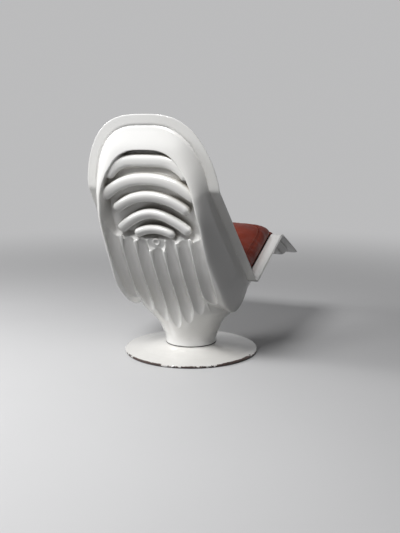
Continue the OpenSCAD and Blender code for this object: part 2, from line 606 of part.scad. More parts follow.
module bush() rotate_extrude() polygon([[post_r + run_fit, -bush_lip], [lip_r, -bush_lip],
    [lip_r, 0], [bush_r, 0], [bush_r, bush_len], [post_r + run_fit, bush_len]]);
module lower_bush() color("ivory") translate([0, 0, hub_z]) bush();
module upper_bush() color("ivory") translate([0, 0, hub_top_z]) mirror([0, 0, 1]) bush();

// Washer and nut that hold the hub down on the post
module retaining_washer() color("silver") translate([0, 0, post_top_z]) difference() {
    cylinder(washer_t, r = hub_r);
    translate([0, 0, -over]) cylinder(washer_t + 2 * over, r = thread_r + run_fit);
}
module retaining_nut() color("silver") translate([0, 0, post_top_z + washer_t]) difference() {
    cylinder(nut_t, r = thread_r * 1.7, $fn = 6);
    translate([0, 0, -over]) cylinder(nut_t + 2 * over, r = thread_r + run_fit);
}

// Round board bonded into the pedestal, and the bolts that hold the hub to it
funnel_r_table = [for (f = funnel_shares) [mix(neck_z, crotch_z, f[0]), f[3] * neck_r]];
function funnel_in_r(z) = (lookup(z, funnel_r_table) - shell_t) * cos(180 / funnel_sides) - fit;
module mounting_board() color("burlywood") difference() {
    translate([0, 0, board_z])
        cylinder(board_t, funnel_in_r(board_z), funnel_in_r(board_z + board_t));
    translate([0, 0, board_z - over]) cylinder(board_t + 2 * over, r = hub_r + fit);
    hub_places() translate([0, 0, board_z - over])
        cylinder(board_t + 2 * over, r = bolt_r + run_fit);
}
bolt_head_t = bolt_r * 1.4;
bolt_head_r = bolt_r * 1.9;
bolt_washer_t = bolt_r * 0.4;
bolt_washer_r = bolt_r * 2.2;
module hub_bolts() color("silver") hub_places() {
    translate([0, 0, board_z - hub_flange_t - bolt_head_t])
        cylinder(bolt_head_t, r = bolt_head_r, $fn = 6);
    translate([0, 0, board_z - hub_flange_t - bolt_head_t / 2])
        cylinder(bolt_head_t / 2 + hub_flange_t + board_t + bolt_washer_t + bolt_r * 2.2, r = bolt_r);
}
module hub_washers() color("silver") hub_places() translate([0, 0, board_z + board_t])
    difference() {
        cylinder(bolt_washer_t, r = bolt_washer_r);
        translate([0, 0, -over]) cylinder(bolt_washer_t + 2 * over, r = bolt_r + run_fit);
    }
module hub_nuts() color("silver") hub_places()
    translate([0, 0, board_z + board_t + bolt_washer_t]) difference() {
        cylinder(bolt_r * 1.6, r = bolt_head_r, $fn = 6);
        translate([0, 0, -over]) cylinder(bolt_r * 1.6 + 2 * over, r = bolt_r + run_fit);
    }

// Black ring that hides the gap between the neck and the disc
module neck_seal() color("black") rotate_extrude($fn = 128)
    translate([neck_r - shell_t * 1.6, disc_top_z + fit])
        square([shell_t * 1.4, neck_z - disc_top_z - fit]);

base_disc();
floor_ring();
pivot_post();
post_screws();
lower_race();
bearing_balls();
ball_cage();
upper_race();
swivel_hub();
lower_bush();
upper_bush();
retaining_washer();
retaining_nut();
mounting_board();
hub_bolts();
hub_washers();
hub_nuts();
neck_seal();
outer_shell();
inner_liner();
grip_tapes();
head_pad();
back_pad();
seat_pad();
leg_pad();
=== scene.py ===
import math

import bmesh
import bpy
import numpy as np
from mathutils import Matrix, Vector, noise
from mathutils.bvhtree import BVHTree
from mathutils.kdtree import KDTree


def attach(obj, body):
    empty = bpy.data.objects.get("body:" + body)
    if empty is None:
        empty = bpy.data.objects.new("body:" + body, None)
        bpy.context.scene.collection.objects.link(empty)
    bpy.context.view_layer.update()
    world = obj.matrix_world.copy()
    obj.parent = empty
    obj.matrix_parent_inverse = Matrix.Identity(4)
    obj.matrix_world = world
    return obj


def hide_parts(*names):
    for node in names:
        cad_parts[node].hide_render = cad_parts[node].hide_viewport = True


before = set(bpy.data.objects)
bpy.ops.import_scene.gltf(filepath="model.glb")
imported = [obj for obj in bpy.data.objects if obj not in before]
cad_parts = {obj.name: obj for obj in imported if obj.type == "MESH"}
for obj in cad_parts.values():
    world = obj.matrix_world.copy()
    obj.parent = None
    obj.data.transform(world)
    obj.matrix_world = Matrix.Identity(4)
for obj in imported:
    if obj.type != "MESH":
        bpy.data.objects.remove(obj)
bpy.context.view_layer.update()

MM = 0.001
scene = bpy.context.scene

# ---- sizes, in mm and degrees
# They are the solids' own, except that the bars, flutes, recess and the bolsters beside them were set
# closer to the photograph here. A place on the shell is a station s along the side view of its rim,
# from the head to the foot, a distance x from the middle and a depth d behind the rim.
CROTCH = np.array([55.0, 331.0])
HEAD_LEN, HEAD_LEAN = 290.0, 13.8
BACK_LEN, BACK_LEAN = 517.0, 38.6
THIGH_LEN, THIGH_RISE = 452.0, 18.7
LEG_LEN, LEG_DROP = 325.0, 23.4
HEAD_W, CROTCH_W, KNEE_W, FOOT_W, FOOT_R = 558.0, 648.0, 600.0, 580.0, 22.0
FLANGE_W, RIM_T, SHELL_T = 41.0, 4.0, 5.0
BOLSTER_DEPTH, BOLSTER_W = 154.0, 43.0
HEAD_SIDE_W, HEAD_TOP_W, LOBE_W, INNER_W = 60.0, 85.0, 60.0, 44.0
THIGH_DEPTH, LEG_DEPTH, TRAY_W = 50.0, 30.0, 25.0
BAR_R, BAR_W, BAR_PITCH, BAR_FIRST = 20.0, 51.0, 63.0, 172.0
FLUTE_PITCH, FLUTE_DEPTH, RIDGE_W, BOSS_R = 60.0, 19.0, 6.0, 18.0
NECK_R, NECK_Z = 112.0, 41.0
DISC_R = 290.0
LINER_T, LIP_INSET, TAPE_T, FIT = 4.0, 3.0, 2.0, 0.3
PAD_HIGH = {"head_pad": 44.0, "back_pad": 28.0, "seat_pad": 78.0, "leg_pad": 34.0}

KINK_S = HEAD_LEN
CROTCH_S = KINK_S + BACK_LEN
KNEE_S = CROTCH_S + THIGH_LEN
FOOT_S = KNEE_S + LEG_LEN
SIDE_S = np.array([0, KINK_S, CROTCH_S, KNEE_S, FOOT_S])


def sin_cos(deg):
    return np.array([math.sin(math.radians(deg)), math.cos(math.radians(deg))])


# corners of the rim in the side view, as (y, z)
KINK = CROTCH + BACK_LEN * sin_cos(BACK_LEAN)
HEAD = KINK + HEAD_LEN * sin_cos(HEAD_LEAN)
KNEE = CROTCH + THIGH_LEN * sin_cos(THIGH_RISE)[::-1] * [-1, 1]
FOOT = KNEE - LEG_LEN * sin_cos(LEG_DROP)[::-1]
SIDE_P = np.array([HEAD, KINK, CROTCH, KNEE, FOOT])
SIDE_DIR = np.diff(SIDE_P, axis=0) / np.linalg.norm(np.diff(SIDE_P, axis=0), axis=1)[:, None]
# how far each corner's bend reaches to either side of it
BEND = [0, HEAD_LEN * 0.04, BACK_LEN * 0.05, THIGH_LEN * 0.06, 0]


def at(sec, share):
    """Station at a share of a section: 0 head, 1 back, 2 thighs, 3 legs."""
    return SIDE_S[sec] + (SIDE_S[sec + 1] - SIDE_S[sec]) * share


def ease(u):
    """Smooth step from 0 to 1."""
    u = np.clip(u, 0, 1)
    return u * u * (3 - 2 * u)


def mix(a, b, u):
    return a + (b - a) * u


def rim(s):
    """The rim's (y, z) at each station, with its corners bent round."""
    s = np.atleast_1d(np.asarray(s, float))
    sec = np.clip(np.searchsorted(SIDE_S, s, side="right") - 1, 0, 3)
    p = SIDE_P[sec] + SIDE_DIR[sec] * (s - SIDE_S[sec])[:, None]
    for c in (1, 2, 3):
        m = np.abs(s - SIDE_S[c]) < BEND[c]
        u = ((s[m] - SIDE_S[c] + BEND[c]) / (2 * BEND[c]))[:, None]
        a, b = SIDE_P[c] - SIDE_DIR[c - 1] * BEND[c], SIDE_P[c] + SIDE_DIR[c] * BEND[c]
        p[m] = (1 - u) ** 2 * a + 2 * u * (1 - u) * SIDE_P[c] + u * u * b
    return p


# stations between which the direction of depth turns, and its angles there
TURN_S = [at(0, 0.69), at(1, 0.174), at(1, 0.793), at(2, 0.051), at(2, 0.825), at(3, 0.25), at(3, 1)]
TURN_A = [HEAD_LEAN, BACK_LEAN, BACK_LEAN, 90 + THIGH_RISE, 90 + THIGH_RISE, 90 - LEG_DROP, 90 - LEG_DROP]


def depth_angle(s):
    """Angle of the direction of depth below the horizontal, in degrees."""
    s = np.atleast_1d(np.asarray(s, float))
    out = np.full(s.shape, TURN_A[0])
    for k in range(len(TURN_S) - 1):
        m = s > TURN_S[k]
        u = ease((s[m] - TURN_S[k]) / (TURN_S[k + 1] - TURN_S[k]))
        out[m] = mix(TURN_A[k], TURN_A[k + 1], u)
    return out


def depth_dir(s):
    """Unit (y, z) direction of depth at each station."""
    a = np.radians(depth_angle(s))
    return np.stack([np.cos(a), -np.sin(a)], 1)


def spot(s, x, d):
    """Places in space of stations, distances from the middle and depths."""
    s, x, d = np.broadcast_arrays(*[np.atleast_1d(np.asarray(v, float)) for v in (s, x, d)])
    p = rim(s) + depth_dir(s) * d[:, None]
    return np.stack([x, p[:, 0], p[:, 1]], 1)


SOFT_H = HEAD_LEN * 0.035


def soft(s, table):
    """Value of a table of (station, value) at each station, with its corners rounded off."""
    s = np.atleast_1d(np.asarray(s, float))
    t = np.array(sorted(table), float)
    w = [1, 2, 3, 2, 1]
    return sum(w[k] * np.interp(s + (k - 2) * SOFT_H, t[:, 0], t[:, 1]) for k in range(5)) / 9


# depth of the bolsters' noses, and of the crests of the bars and flutes between them
NOSE = [(at(0, a), b * BOLSTER_DEPTH) for a, b in ((0.14, 0), (0.4, 0.19), (0.66, 0.29), (1, 0.43))]
NOSE += [(at(1, a), b * BOLSTER_DEPTH) for a, b in (
    (0.04, 0.5), (0.08, 0.58), (0.12, 0.64), (0.27, 0.78), (0.43, 0.9), (0.58, 0.955), (0.74, 0.99),
    (0.94, 1), (0.975, 0.93))]
NOSE += [(at(2, 0.05), THIGH_DEPTH), (at(2, 0.87), THIGH_DEPTH),
         (at(3, 0.18), LEG_DEPTH), (FOOT_S, LEG_DEPTH)]
CREST = [(at(0, a), b * BOLSTER_DEPTH) for a, b in (
    (0.22, 0.065), (0.4, 0.155), (0.57, 0.195), (0.74, 0.26), (0.91, 0.3))]
CREST += [(at(1, a), b * BOLSTER_DEPTH) for a, b in (
    (0, 0.31), (0.04, 0.345), (0.12, 0.45), (0.27, 0.635), (0.35, 0.73), (0.5, 0.85), (0.66, 0.948),
    (0.77, 0.985), (0.94, 1))]
WIDTH = [(KINK_S, HEAD_W / 2), (CROTCH_S, CROTCH_W / 2), (KNEE_S, KNEE_W / 2), (FOOT_S, FOOT_W / 2)]
# widths of the slope from the flange to the nose, and of the side that falls from it into the recess
SLOPE = [(0, HEAD_SIDE_W), (at(0, 0.5), HEAD_SIDE_W), (at(0, 0.8), HEAD_SIDE_W * 0.83),
         (KINK_S, HEAD_SIDE_W * 0.7), (at(1, 0.16), BOLSTER_W * 0.8), (at(1, 0.35), BOLSTER_W * 0.97),
         (at(1, 0.5), BOLSTER_W * 1.06), (at(1, 0.65), BOLSTER_W), (at(1, 0.8), BOLSTER_W),
         (at(1, 0.92), LOBE_W), (at(1, 0.98), LOBE_W), (at(2, 0.08), TRAY_W), (FOOT_S, TRAY_W)]
INNER = [(0, HEAD_SIDE_W * 0.15), (at(0, 0.9), HEAD_SIDE_W * 0.15), (at(1, 0.05), INNER_W * 0.5),
         (at(1, 0.26), INNER_W * 0.6), (at(1, 0.4), INNER_W), (at(1, 0.92), INNER_W),
         (at(2, 0.08), TRAY_W), (FOOT_S, TRAY_W)]

# depth of the recess at the head, and how much deeper it gets, over the bars' half height
RECESS_DEEP, RECESS_DEEPER = 1.45, 0.45


def nose_d(s):
    return np.maximum(0, soft(s, NOSE))


def crest_d(s):
    return soft(s, CREST)


def recess_d(s):
    """Depth of the recess's floor below the crests, until it ends where the flutes start."""
    deep = BAR_R * (RECESS_DEEP + RECESS_DEEPER * ease((s - at(1, 0)) / (BACK_LEN * 0.12)))
    return deep * (1 - ease((s - at(1, 0.31)) / (BACK_LEN * 0.06)))


def floor_d(s):
    """Depth of the recess's floor, which meets the noses below the back."""
    s = np.atleast_1d(np.asarray(s, float))
    low = crest_d(s) - recess_d(s)
    well = ease((s - at(1, 0.84)) / (at(2, 0) - at(1, 0.84)))
    nose = nose_d(s)
    return np.where(s > at(2, 0), nose, np.minimum(low, nose - (nose - THIGH_DEPTH) * 0.3 * well))


def rim_x(s):
    """Half width of the rim below the head."""
    s = np.atleast_1d(np.asarray(s, float))
    lim = KINK_S + 2 * SOFT_H
    narrower = (HEAD_W - CROTCH_W) / 2 / BACK_LEN * (lim - s)
    return soft(np.maximum(s, lim), WIDTH) + np.where(s < lim, narrower, 0)


# ---- rows and rings of the shell
HEAD_N, CORNER_N = 40, 8
STEP = 5.0
# powers of the head's round outline along the back and across it
ROUND_S, ROUND_X = 1.6, 3
HEAD_A = np.radians(90 * (np.arange(HEAD_N + 1) / HEAD_N) ** 1.5)
SIDE_ROWS = np.arange(KINK_S + STEP, KNEE_S, STEP)
LEG_ROWS = np.linspace(0.0, 0.97, 44)
FOOT_U = np.array([0.75, 0.5, 0.25, 0])
ROWS = HEAD_N + 1 + len(SIDE_ROWS) + len(LEG_ROWS) + CORNER_N + 1 + len(FOOT_U)
# how near each row is to the top of the head
TOPNESS = np.zeros(ROWS)
TOPNESS[:HEAD_N + 1] = np.cos(HEAD_A) ** (2 / ROUND_S)


def outline(e0, e1, e2):
    """Half outline of the rim, set in by e0 at the top, e1 at the sides (or one a row) and e2 below."""
    e1 = np.broadcast_to(np.asarray(e1, float), (ROWS,))
    hs = KINK_S - (HEAD_LEN - e0) * np.cos(HEAD_A) ** (2 / ROUND_S)
    hx = (HEAD_W / 2 - e1[:HEAD_N + 1]) * np.sin(HEAD_A) ** (2 / ROUND_X)
    n = HEAD_N + 1 + len(SIDE_ROWS)
    sx = rim_x(SIDE_ROWS) - e1[HEAD_N + 1:n]
    r = max(FOOT_R - e2, FOOT_R * 0.35)
    ls = mix(KNEE_S, FOOT_S - e2 - r, LEG_ROWS)
    lx = rim_x(ls) - e1[n:n + len(LEG_ROWS)]
    a = np.linspace(0, np.pi / 2, CORNER_N + 1)
    c = (FOOT_S - e2 - r, FOOT_W / 2 - e1[-1] - r)
    fs = np.concatenate([c[0] + r * np.sin(a), FOOT_S - e2 + FOOT_R * 0.12 * (1 - FOOT_U * FOOT_U)])
    fx = np.concatenate([c[1] + r * np.cos(a), c[1] * FOOT_U])
    return np.concatenate([hs, SIDE_ROWS, ls, fs]), np.concatenate([hx, sx, lx, fx])


BASE_S = outline(FLANGE_W, FLANGE_W, FLANGE_W)[0]
SLOPE_ROW, INNER_ROW = soft(BASE_S, SLOPE), soft(BASE_S, INNER)
# shares of the slope over which its crease at the flange is soft, beside and above the head, how round it
# falls to the nose, and how the inner side falls from there: level at first, then steep
CREASE, TOP_CREASE, SLOPE_POWER, FALL = 0.07, 0.06, 2.33, (2.32, 1.32)


def recess_wall(s):
    """Thickness of the shell round the recess, with room for the flutes."""
    return SHELL_T + FLUTE_DEPTH * np.minimum(
        ease((s - at(1, 0.12)) / (BACK_LEN * 0.15)), ease((at(2, 0.06) - s) / (BACK_LEN * 0.1)))


def slope_ring(t, grow):
    """Ring on the slope, from the flange at t 0 to the nose at t 1, moved inward by grow."""
    w = SLOPE_ROW * t + grow
    s, x = outline(FLANGE_W + HEAD_TOP_W * t + grow, FLANGE_W + w, FLANGE_W + w[-1])
    soft_t = t * t / (t + CREASE) * (1 + CREASE)
    share = mix(1 - (1 - soft_t) ** SLOPE_POWER, min(1, (t / TOP_CREASE) ** 2), TOPNESS ** 3)
    return spot(s, x, nose_d(s) * share - grow * share)


def recess_ring(t, hollow):
    """Ring from the nose at t 0 to the recess's floor at t 1, or at hollow 1 on the skin's inner side."""
    wall = hollow * recess_wall(BASE_S)
    w = SLOPE_ROW + INNER_ROW * t - wall
    s, x = outline(FLANGE_W + HEAD_TOP_W + HEAD_SIDE_W * 0.15 * t - wall[0], FLANGE_W + w, FLANGE_W + w[-1])
    d = mix(nose_d(s), floor_d(s), t * t * (FALL[0] - FALL[1] * t))
    return spot(s, x, d - hollow * recess_wall(s))


def flat_ring(e, d):
    """Ring set in by e all round, at one depth."""
    s, x = outline(e, e, e)
    return spot(s, x, np.full(ROWS, float(d)))


def full(ring):
    """A half ring with its mirror image."""
    back = ring[1:-1][::-1] * [-1, 1, 1]
    return np.concatenate([ring, back])


def strips(count, m, closed=False, flip=False):
    """Faces between neighbouring rings of m points, and from the last ring to the first where closed."""
    k = np.arange(m)
    k2 = (k + 1) % m
    faces = []
    for j in range(count if closed else count - 1):
        a, b = j * m, (j + 1) % count * m
        quad = [a + k, b + k, b + k2, a + k2] if flip else [a + k, a + k2, b + k2, b + k]
        faces += np.stack(quad, 1).tolist()
    return faces


def loft(rings):
    """Closed solid through rings of the same number of points."""
    m = len(rings[0])
    ends = [list(range(m))[::-1], [(len(rings) - 1) * m + v for v in range(m)]]
    return np.concatenate(rings), strips(len(rings), m) + ends


def bowl(rings):
    """Closed solid through half rings, with the first and the last closed by strips across."""
    n = len(rings[0])
    m = 2 * n - 2
    faces = strips(len(rings), m, flip=True)
    for base, way in ((0, 1), ((len(rings) - 1) * m, -1)):
        for i in range(n - 1):
            q = [base + i, base + i + 1, base + (m - i - 1) % m, base + (m - i) % m]
            if i == 0:
                q = q[:3]
            elif i == n - 2:
                q = [q[0], q[1], q[3]]
            faces.append(q[::way])
    return np.concatenate([full(r) for r in rings]), faces


def hoop(rings):
    """Closed solid whose half rings follow each other round its cross-section."""
    return (np.concatenate([full(r) for r in rings]),
            strips(len(rings), 2 * len(rings[0]) - 2, closed=True, flip=True))


def make(name, pts, faces):
    """New smooth object from points in mm."""
    me = bpy.data.meshes.new(name)
    me.from_pydata((np.asarray(pts) * MM).tolist(), [], faces)
    me.validate()
    me.shade_smooth()
    o = bpy.data.objects.new(name, me)
    scene.collection.objects.link(o)
    return o


def apply_modifiers(o):
    """Applies an object's modifiers to its mesh."""
    dg = bpy.context.evaluated_depsgraph_get()
    dg.update()
    me = bpy.data.meshes.new_from_object(o.evaluated_get(dg))
    old = o.data
    o.modifiers.clear()
    o.data = me
    bpy.data.meshes.remove(old)


def boolean(o, other, op):
    """Joins or cuts an object with another, which is used up."""
    m = o.modifiers.new("b", "BOOLEAN")
    m.solver, m.operation, m.object = "MANIFOLD", op, other
    apply_modifiers(o)
    bpy.data.objects.remove(other)


def catmull(p, n):
    """Smooth curve through points, n steps a span."""
    p = np.asarray(p, float)
    q = np.concatenate([[2 * p[0] - p[1]], p, [2 * p[-1] - p[-2]]])
    out = []
    for i in range(1, len(q) - 2):
        for t in np.arange(n) / n:
            out.append(0.5 * ((2 * q[i]) + (q[i + 1] - q[i - 1]) * t
                              + (2 * q[i - 1] - 5 * q[i] + 4 * q[i + 1] - q[i + 2]) * t * t
                              + (3 * q[i] - q[i - 1] - 3 * q[i + 1] + q[i + 2]) * t ** 3))
    out.append(p[-1])
    return np.array(out)


def circle(n):
    """Cosines and sines of n even steps round a circle."""
    a = np.linspace(0, 2 * np.pi, n, endpoint=False)
    return np.cos(a), np.sin(a)


def round_end(n):
    """Angles of the sections of a rounded end, from just off its tip."""
    return np.linspace(np.pi / 2, 0, n + 1)[:-1] * 0.98


def unit_rows(v):
    """Each row at length 1."""
    return v / np.linalg.norm(v, axis=1)[:, None]


def sweep(path, up, r, sides, ends=8):
    """Closed tube along a path that lies in one upright plane, with rounded ends."""
    t0, t1 = path[0] - path[1], path[-1] - path[-2]
    t0, t1 = t0 / np.linalg.norm(t0), t1 / np.linalg.norm(t1)
    tips = round_end(ends)
    rings = [(path[0] + t0 * r * math.sin(f), up[0], math.cos(f)) for f in tips]
    rings += [(p, u, 1.0) for p, u in zip(path, up)]
    rings += [(path[-1] + t1 * r * math.sin(f), up[-1], math.cos(f)) for f in tips[::-1]]
    c, q = circle(sides)
    side = np.array([1.0, 0, 0])
    return loft([p + k * (r * c[:, None] * side + r * q[:, None] * u) for p, u, k in rings])


def fix_normals(o):
    """Turns all the faces outward."""
    bm = bmesh.new()
    bm.from_mesh(o.data)
    bmesh.ops.recalc_face_normals(bm, faces=bm.faces)
    bm.to_mesh(o.data)
    bm.free()
    return o


# ---- materials
# middle and half width in degrees, and depth in metres, of the worn stretches of the disc's edge
CHIP_ARCS = [(71, 21, 0.006), (154, 24, 0.0095), (110, 9, 0.002)]
# tone of the dust and painted shade in the gelcoat's hollows, and of the scuffs on the disc's paint
DUST_AND_SHADE, SCUFF = (0.25, 0.225, 0.185), (0.5, 0.48, 0.45)
PAINT_LIGHT, PAINT_DARK = (0.8, 0.79, 0.762), (0.755, 0.742, 0.712)
IRON, RUST = (0.022, 0.014, 0.012), (0.075, 0.028, 0.018)
BIRCH_LIGHT, BIRCH_DARK, GLUE = (0.66, 0.49, 0.31), (0.5, 0.34, 0.19), (0.25, 0.15, 0.08)
GUM_DARK, GUM_LIGHT = (0.014, 0.014, 0.015), (0.035, 0.034, 0.033)
TAPE_BACK, TAPE_HOOKS = (0.16, 0.155, 0.15), (0.05, 0.05, 0.05)


class Nodes:
    """A node tree whose nodes are added one by one."""

    def __init__(self, tree):
        self.tree = tree

    def set(self, node, sockets):
        for key, value in sockets.items():
            name = key.replace("_", " ") if isinstance(key, str) else key
            if isinstance(value, bpy.types.NodeSocket):
                self.tree.links.new(value, node.inputs[name])
            else:
                node.inputs[name].default_value = value

    def add(self, kind, sockets=(), **props):
        node = self.tree.nodes.new(kind)
        for key, value in props.items():
            setattr(node, key, value)
        self.set(node, dict(sockets))
        return node

    def calc(self, op, a, b=0.0, c=0.0):
        return self.add("ShaderNodeMath", {0: a, 1: b, 2: c}, operation=op).outputs[0]

    def span(self, value, a, b, lo=0.0, hi=1.0):
        """Smooth step from lo to hi as the value goes from a to b."""
        return self.add("ShaderNodeMapRange", {
            "Value": value, "From Min": a, "From Max": b, "To Min": lo, "To Max": hi},
            interpolation_type="SMOOTHSTEP").outputs[0]

    def blend(self, share, a, b):
        node = self.add("ShaderNodeMix", data_type="RGBA")
        self.set(node, {0: share, 6: a if isinstance(a, bpy.types.NodeSocket) else (*a, 1),
                        7: b if isinstance(b, bpy.types.NodeSocket) else (*b, 1)})
        return node.outputs[2]

    def bump(self, height, depth, strength=1.0, below=None):
        node = self.add("ShaderNodeBump", {"Height": height, "Distance": depth, "Strength": strength})
        if below:
            self.tree.links.new(below, node.inputs["Normal"])
        return node.outputs[0]


class Paint(Nodes):
    """A material round one Principled shader, its textures in the object's own metres."""

    def __init__(self, name, **sockets):
        self.mat = bpy.data.materials.new(name)
        self.mat.use_nodes = True
        super().__init__(self.mat.node_tree)
        self.shader = self.tree.nodes["Principled BSDF"]
        self.where = self.add("ShaderNodeTexCoord").outputs["Object"]
        self.set(self.shader, sockets)

    def noise(self, scale, detail=3.0, rough=0.5, stretch=None):
        where = self.where
        if stretch:
            where = self.add("ShaderNodeMapping", {"Vector": where, "Scale": stretch}).outputs[0]
        return self.add("ShaderNodeTexNoise", {
            "Vector": where, "Scale": scale, "Detail": detail, "Roughness": rough}).outputs["Fac"]

    def cells(self, scale):
        return self.add("ShaderNodeTexVoronoi", {"Vector": self.where, "Scale": scale}).outputs["Distance"]

    def place(self):
        return self.add("ShaderNodeSeparateXYZ", {0: self.where}).outputs

    def finish(self, **sockets):
        self.set(self.shader, sockets)
        return self.mat


def gelcoat(name, light, dark, grime_and_shade):
    """Moulded gloss with a faint orange peel, yellowed patches and fine rubs, its hollows darkened towards
    a dust tone by ambient occlusion: partly dust, partly painted shade.
    """
    p = Paint(name, Coat_Weight=0.5, Coat_Roughness=0.04, IOR=1.5)
    tone = p.blend(p.span(p.noise(2.6, 4), 0.35, 0.7), light, dark)
    tone = p.blend(p.span(p.noise(38, 6, 0.7), 0.62, 0.8, 0, 0.25), tone, [v * 0.86 for v in dark])
    # painted shade: ambient occlusion darkens the troughs, grooves and other hollows towards the dust tone,
    # partly dust and partly shade
    open_sky = p.add("ShaderNodeAmbientOcclusion", {"Distance": 0.05}, samples=8, only_local=True)
    patches = p.span(p.noise(16, 5, 0.6), 0.25, 0.6, 0.75, 1.0)
    dust_and_shade = p.calc("MULTIPLY", p.span(open_sky.outputs["AO"], 0.72, 0.2), patches)
    tone = p.blend(p.calc("MULTIPLY", dust_and_shade, grime_and_shade), tone, DUST_AND_SHADE)
    rubs = p.span(p.noise(60, 3, 0.6, (1, 1, 6)), 0.45, 0.75)
    height = p.bump(p.noise(26, 2), 0.0004, 0.4)
    height = p.bump(p.noise(330, 2), 0.00006, 0.5, height)
    return p.finish(Base_Color=tone, Roughness=p.calc("MULTIPLY_ADD", rubs, 0.1, 0.08), Normal=height)


def chipped_paint():
    """White paint over cast iron, worn to the dark metal in chips along the edge."""
    p = Paint("painted_iron", Coat_Weight=0.5, Coat_Roughness=0.05)
    x, y, _ = p.place()
    radius = p.calc("SQRT", p.calc("ADD", p.calc("MULTIPLY", x, x), p.calc("MULTIPLY", y, y)))
    turn = p.calc("ARCTAN2", y, x)
    ragged = p.calc("SUBTRACT", p.noise(42, 5, 0.65), 0.5)
    reach = 0.0
    for middle, half, deep in CHIP_ARCS:
        off = p.calc("ABSOLUTE", p.calc("SUBTRACT", turn, math.radians(middle)))
        off = p.calc("MULTIPLY_ADD", ragged, 0.5, off)
        zone = p.span(off, math.radians(half), math.radians(half * 0.72), 0, deep)
        reach = p.calc("MAXIMUM", zone, reach)
    edge = p.calc("SUBTRACT", DISC_R * MM, radius)
    edge = p.calc("ADD", edge, p.calc("MULTIPLY", ragged, 0.02))
    small = p.calc("SUBTRACT", p.span(p.noise(150, 3, 0.6), 0.5, 0.72, 0, 0.0035), 0.0006)
    chip = p.calc("SUBTRACT", p.calc("MAXIMUM", reach, small), edge)
    chip = p.span(chip, -0.0002, 0.0002)
    tone = p.blend(p.span(p.noise(5, 5), 0.35, 0.7), PAINT_LIGHT, PAINT_DARK)
    scuff = p.span(p.noise(95, 5, 0.7, (1, 1, 3)), 0.68, 0.78, 0, 0.12)
    tone = p.blend(scuff, tone, SCUFF)
    rust = p.blend(p.span(p.noise(220, 4), 0.4, 0.65), IRON, RUST)
    height = p.bump(p.calc("MULTIPLY", chip, -1.0), 0.0008, 0.8)
    height = p.bump(p.noise(60, 3), 0.0002, 0.25, height)
    gloss = p.span(p.noise(30, 4), 0.3, 0.7, 0.1, 0.2)
    return p.finish(Base_Color=p.blend(chip, tone, rust), Normal=height,
                    Roughness=p.calc("MULTIPLY_ADD", chip, 0.45, gloss))


def leather(name, light, dark):
    """Leather with pebbled grain and soft creases, in patches of a lighter and a darker tone."""
    p = Paint(name, Coat_Weight=0.03, Coat_Roughness=0.3, Specular_IOR_Level=0.22)
    tone = p.blend(p.span(p.noise(7, 5, 0.6), 0.32, 0.7), light, dark)
    pores = p.span(p.cells(620), 0.1, 0.55)
    tone = p.blend(p.calc("MULTIPLY_ADD", pores, -0.35, 0.35), tone, [v * 0.5 for v in dark])
    veins = p.span(p.noise(46, 6, 0.72), 0.56, 0.66, 0, 0.22)
    tone = p.blend(veins, tone, [v * 0.7 for v in dark])
    height = p.bump(p.noise(13, 3), 0.0035, 0.35)
    height = p.bump(p.noise(70, 5, 0.65), 0.0007, 0.55, height)
    height = p.bump(pores, 0.00022, 0.8, height)
    return p.finish(Base_Color=tone, Roughness=p.span(p.noise(24, 4), 0.3, 0.7, 0.36, 0.54), Normal=height)


def machined(name, light, dark, rough, grain=(1, 1, 1), **sockets):
    """Metal, hard plastic or thread with fine marks along its grain and a stained tone."""
    p = Paint(name, **sockets)
    tone = p.blend(p.span(p.noise(40, 5), 0.35, 0.7), light, dark)
    marks = p.noise(420, 3, 0.6, grain)
    return p.finish(Base_Color=tone, Normal=p.bump(marks, 0.00008, 0.6),
                    Roughness=p.span(marks, 0.3, 0.7, rough, rough + 0.18))


def plywood():
    """Birch plywood: long figure on the faces, thin darker glue lines at the edges."""
    p = Paint("plywood", Coat_Weight=0.1, Coat_Roughness=0.3)
    figure = p.span(p.noise(16, 6, 0.6, (1, 9, 1)), 0.3, 0.7)
    ply = p.calc("PINGPONG", p.place()[2], 0.0015)
    tone = p.blend(p.span(ply, 0.0002, 0.0, 0, 0.5), p.blend(figure, BIRCH_LIGHT, BIRCH_DARK), GLUE)
    return p.finish(Base_Color=tone, Roughness=p.span(figure, 0, 1, 0.5, 0.62),
                    Normal=p.bump(figure, 0.0002, 0.5))


def rubber():
    """Matt black rubber with greyed patches."""
    p = Paint("black_rubber", Sheen_Weight=0.15)
    return p.finish(Base_Color=p.blend(p.noise(55, 4), GUM_DARK, GUM_LIGHT), Roughness=p.span(
        p.noise(90, 4), 0.3, 0.7, 0.5, 0.72), Normal=p.bump(p.noise(700, 2), 0.0001, 0.6))


def hook_tape():
    """Woven hook tape: rows of small stiff loops."""
    p = Paint("grip_fabric", Sheen_Weight=0.3, Sheen_Roughness=0.4)
    hooks = p.span(p.cells(480), 0.05, 0.5)
    weave = p.add("ShaderNodeTexWave", {"Vector": p.where, "Scale": 180.0, "Distortion": 1.5})
    height = p.bump(weave.outputs["Fac"], 0.0003, 0.5, p.bump(hooks, 0.0009, 0.8))
    return p.finish(Base_Color=p.blend(hooks, TAPE_BACK, TAPE_HOOKS), Normal=height,
                    Roughness=p.span(hooks, 0, 1, 0.7, 0.9))


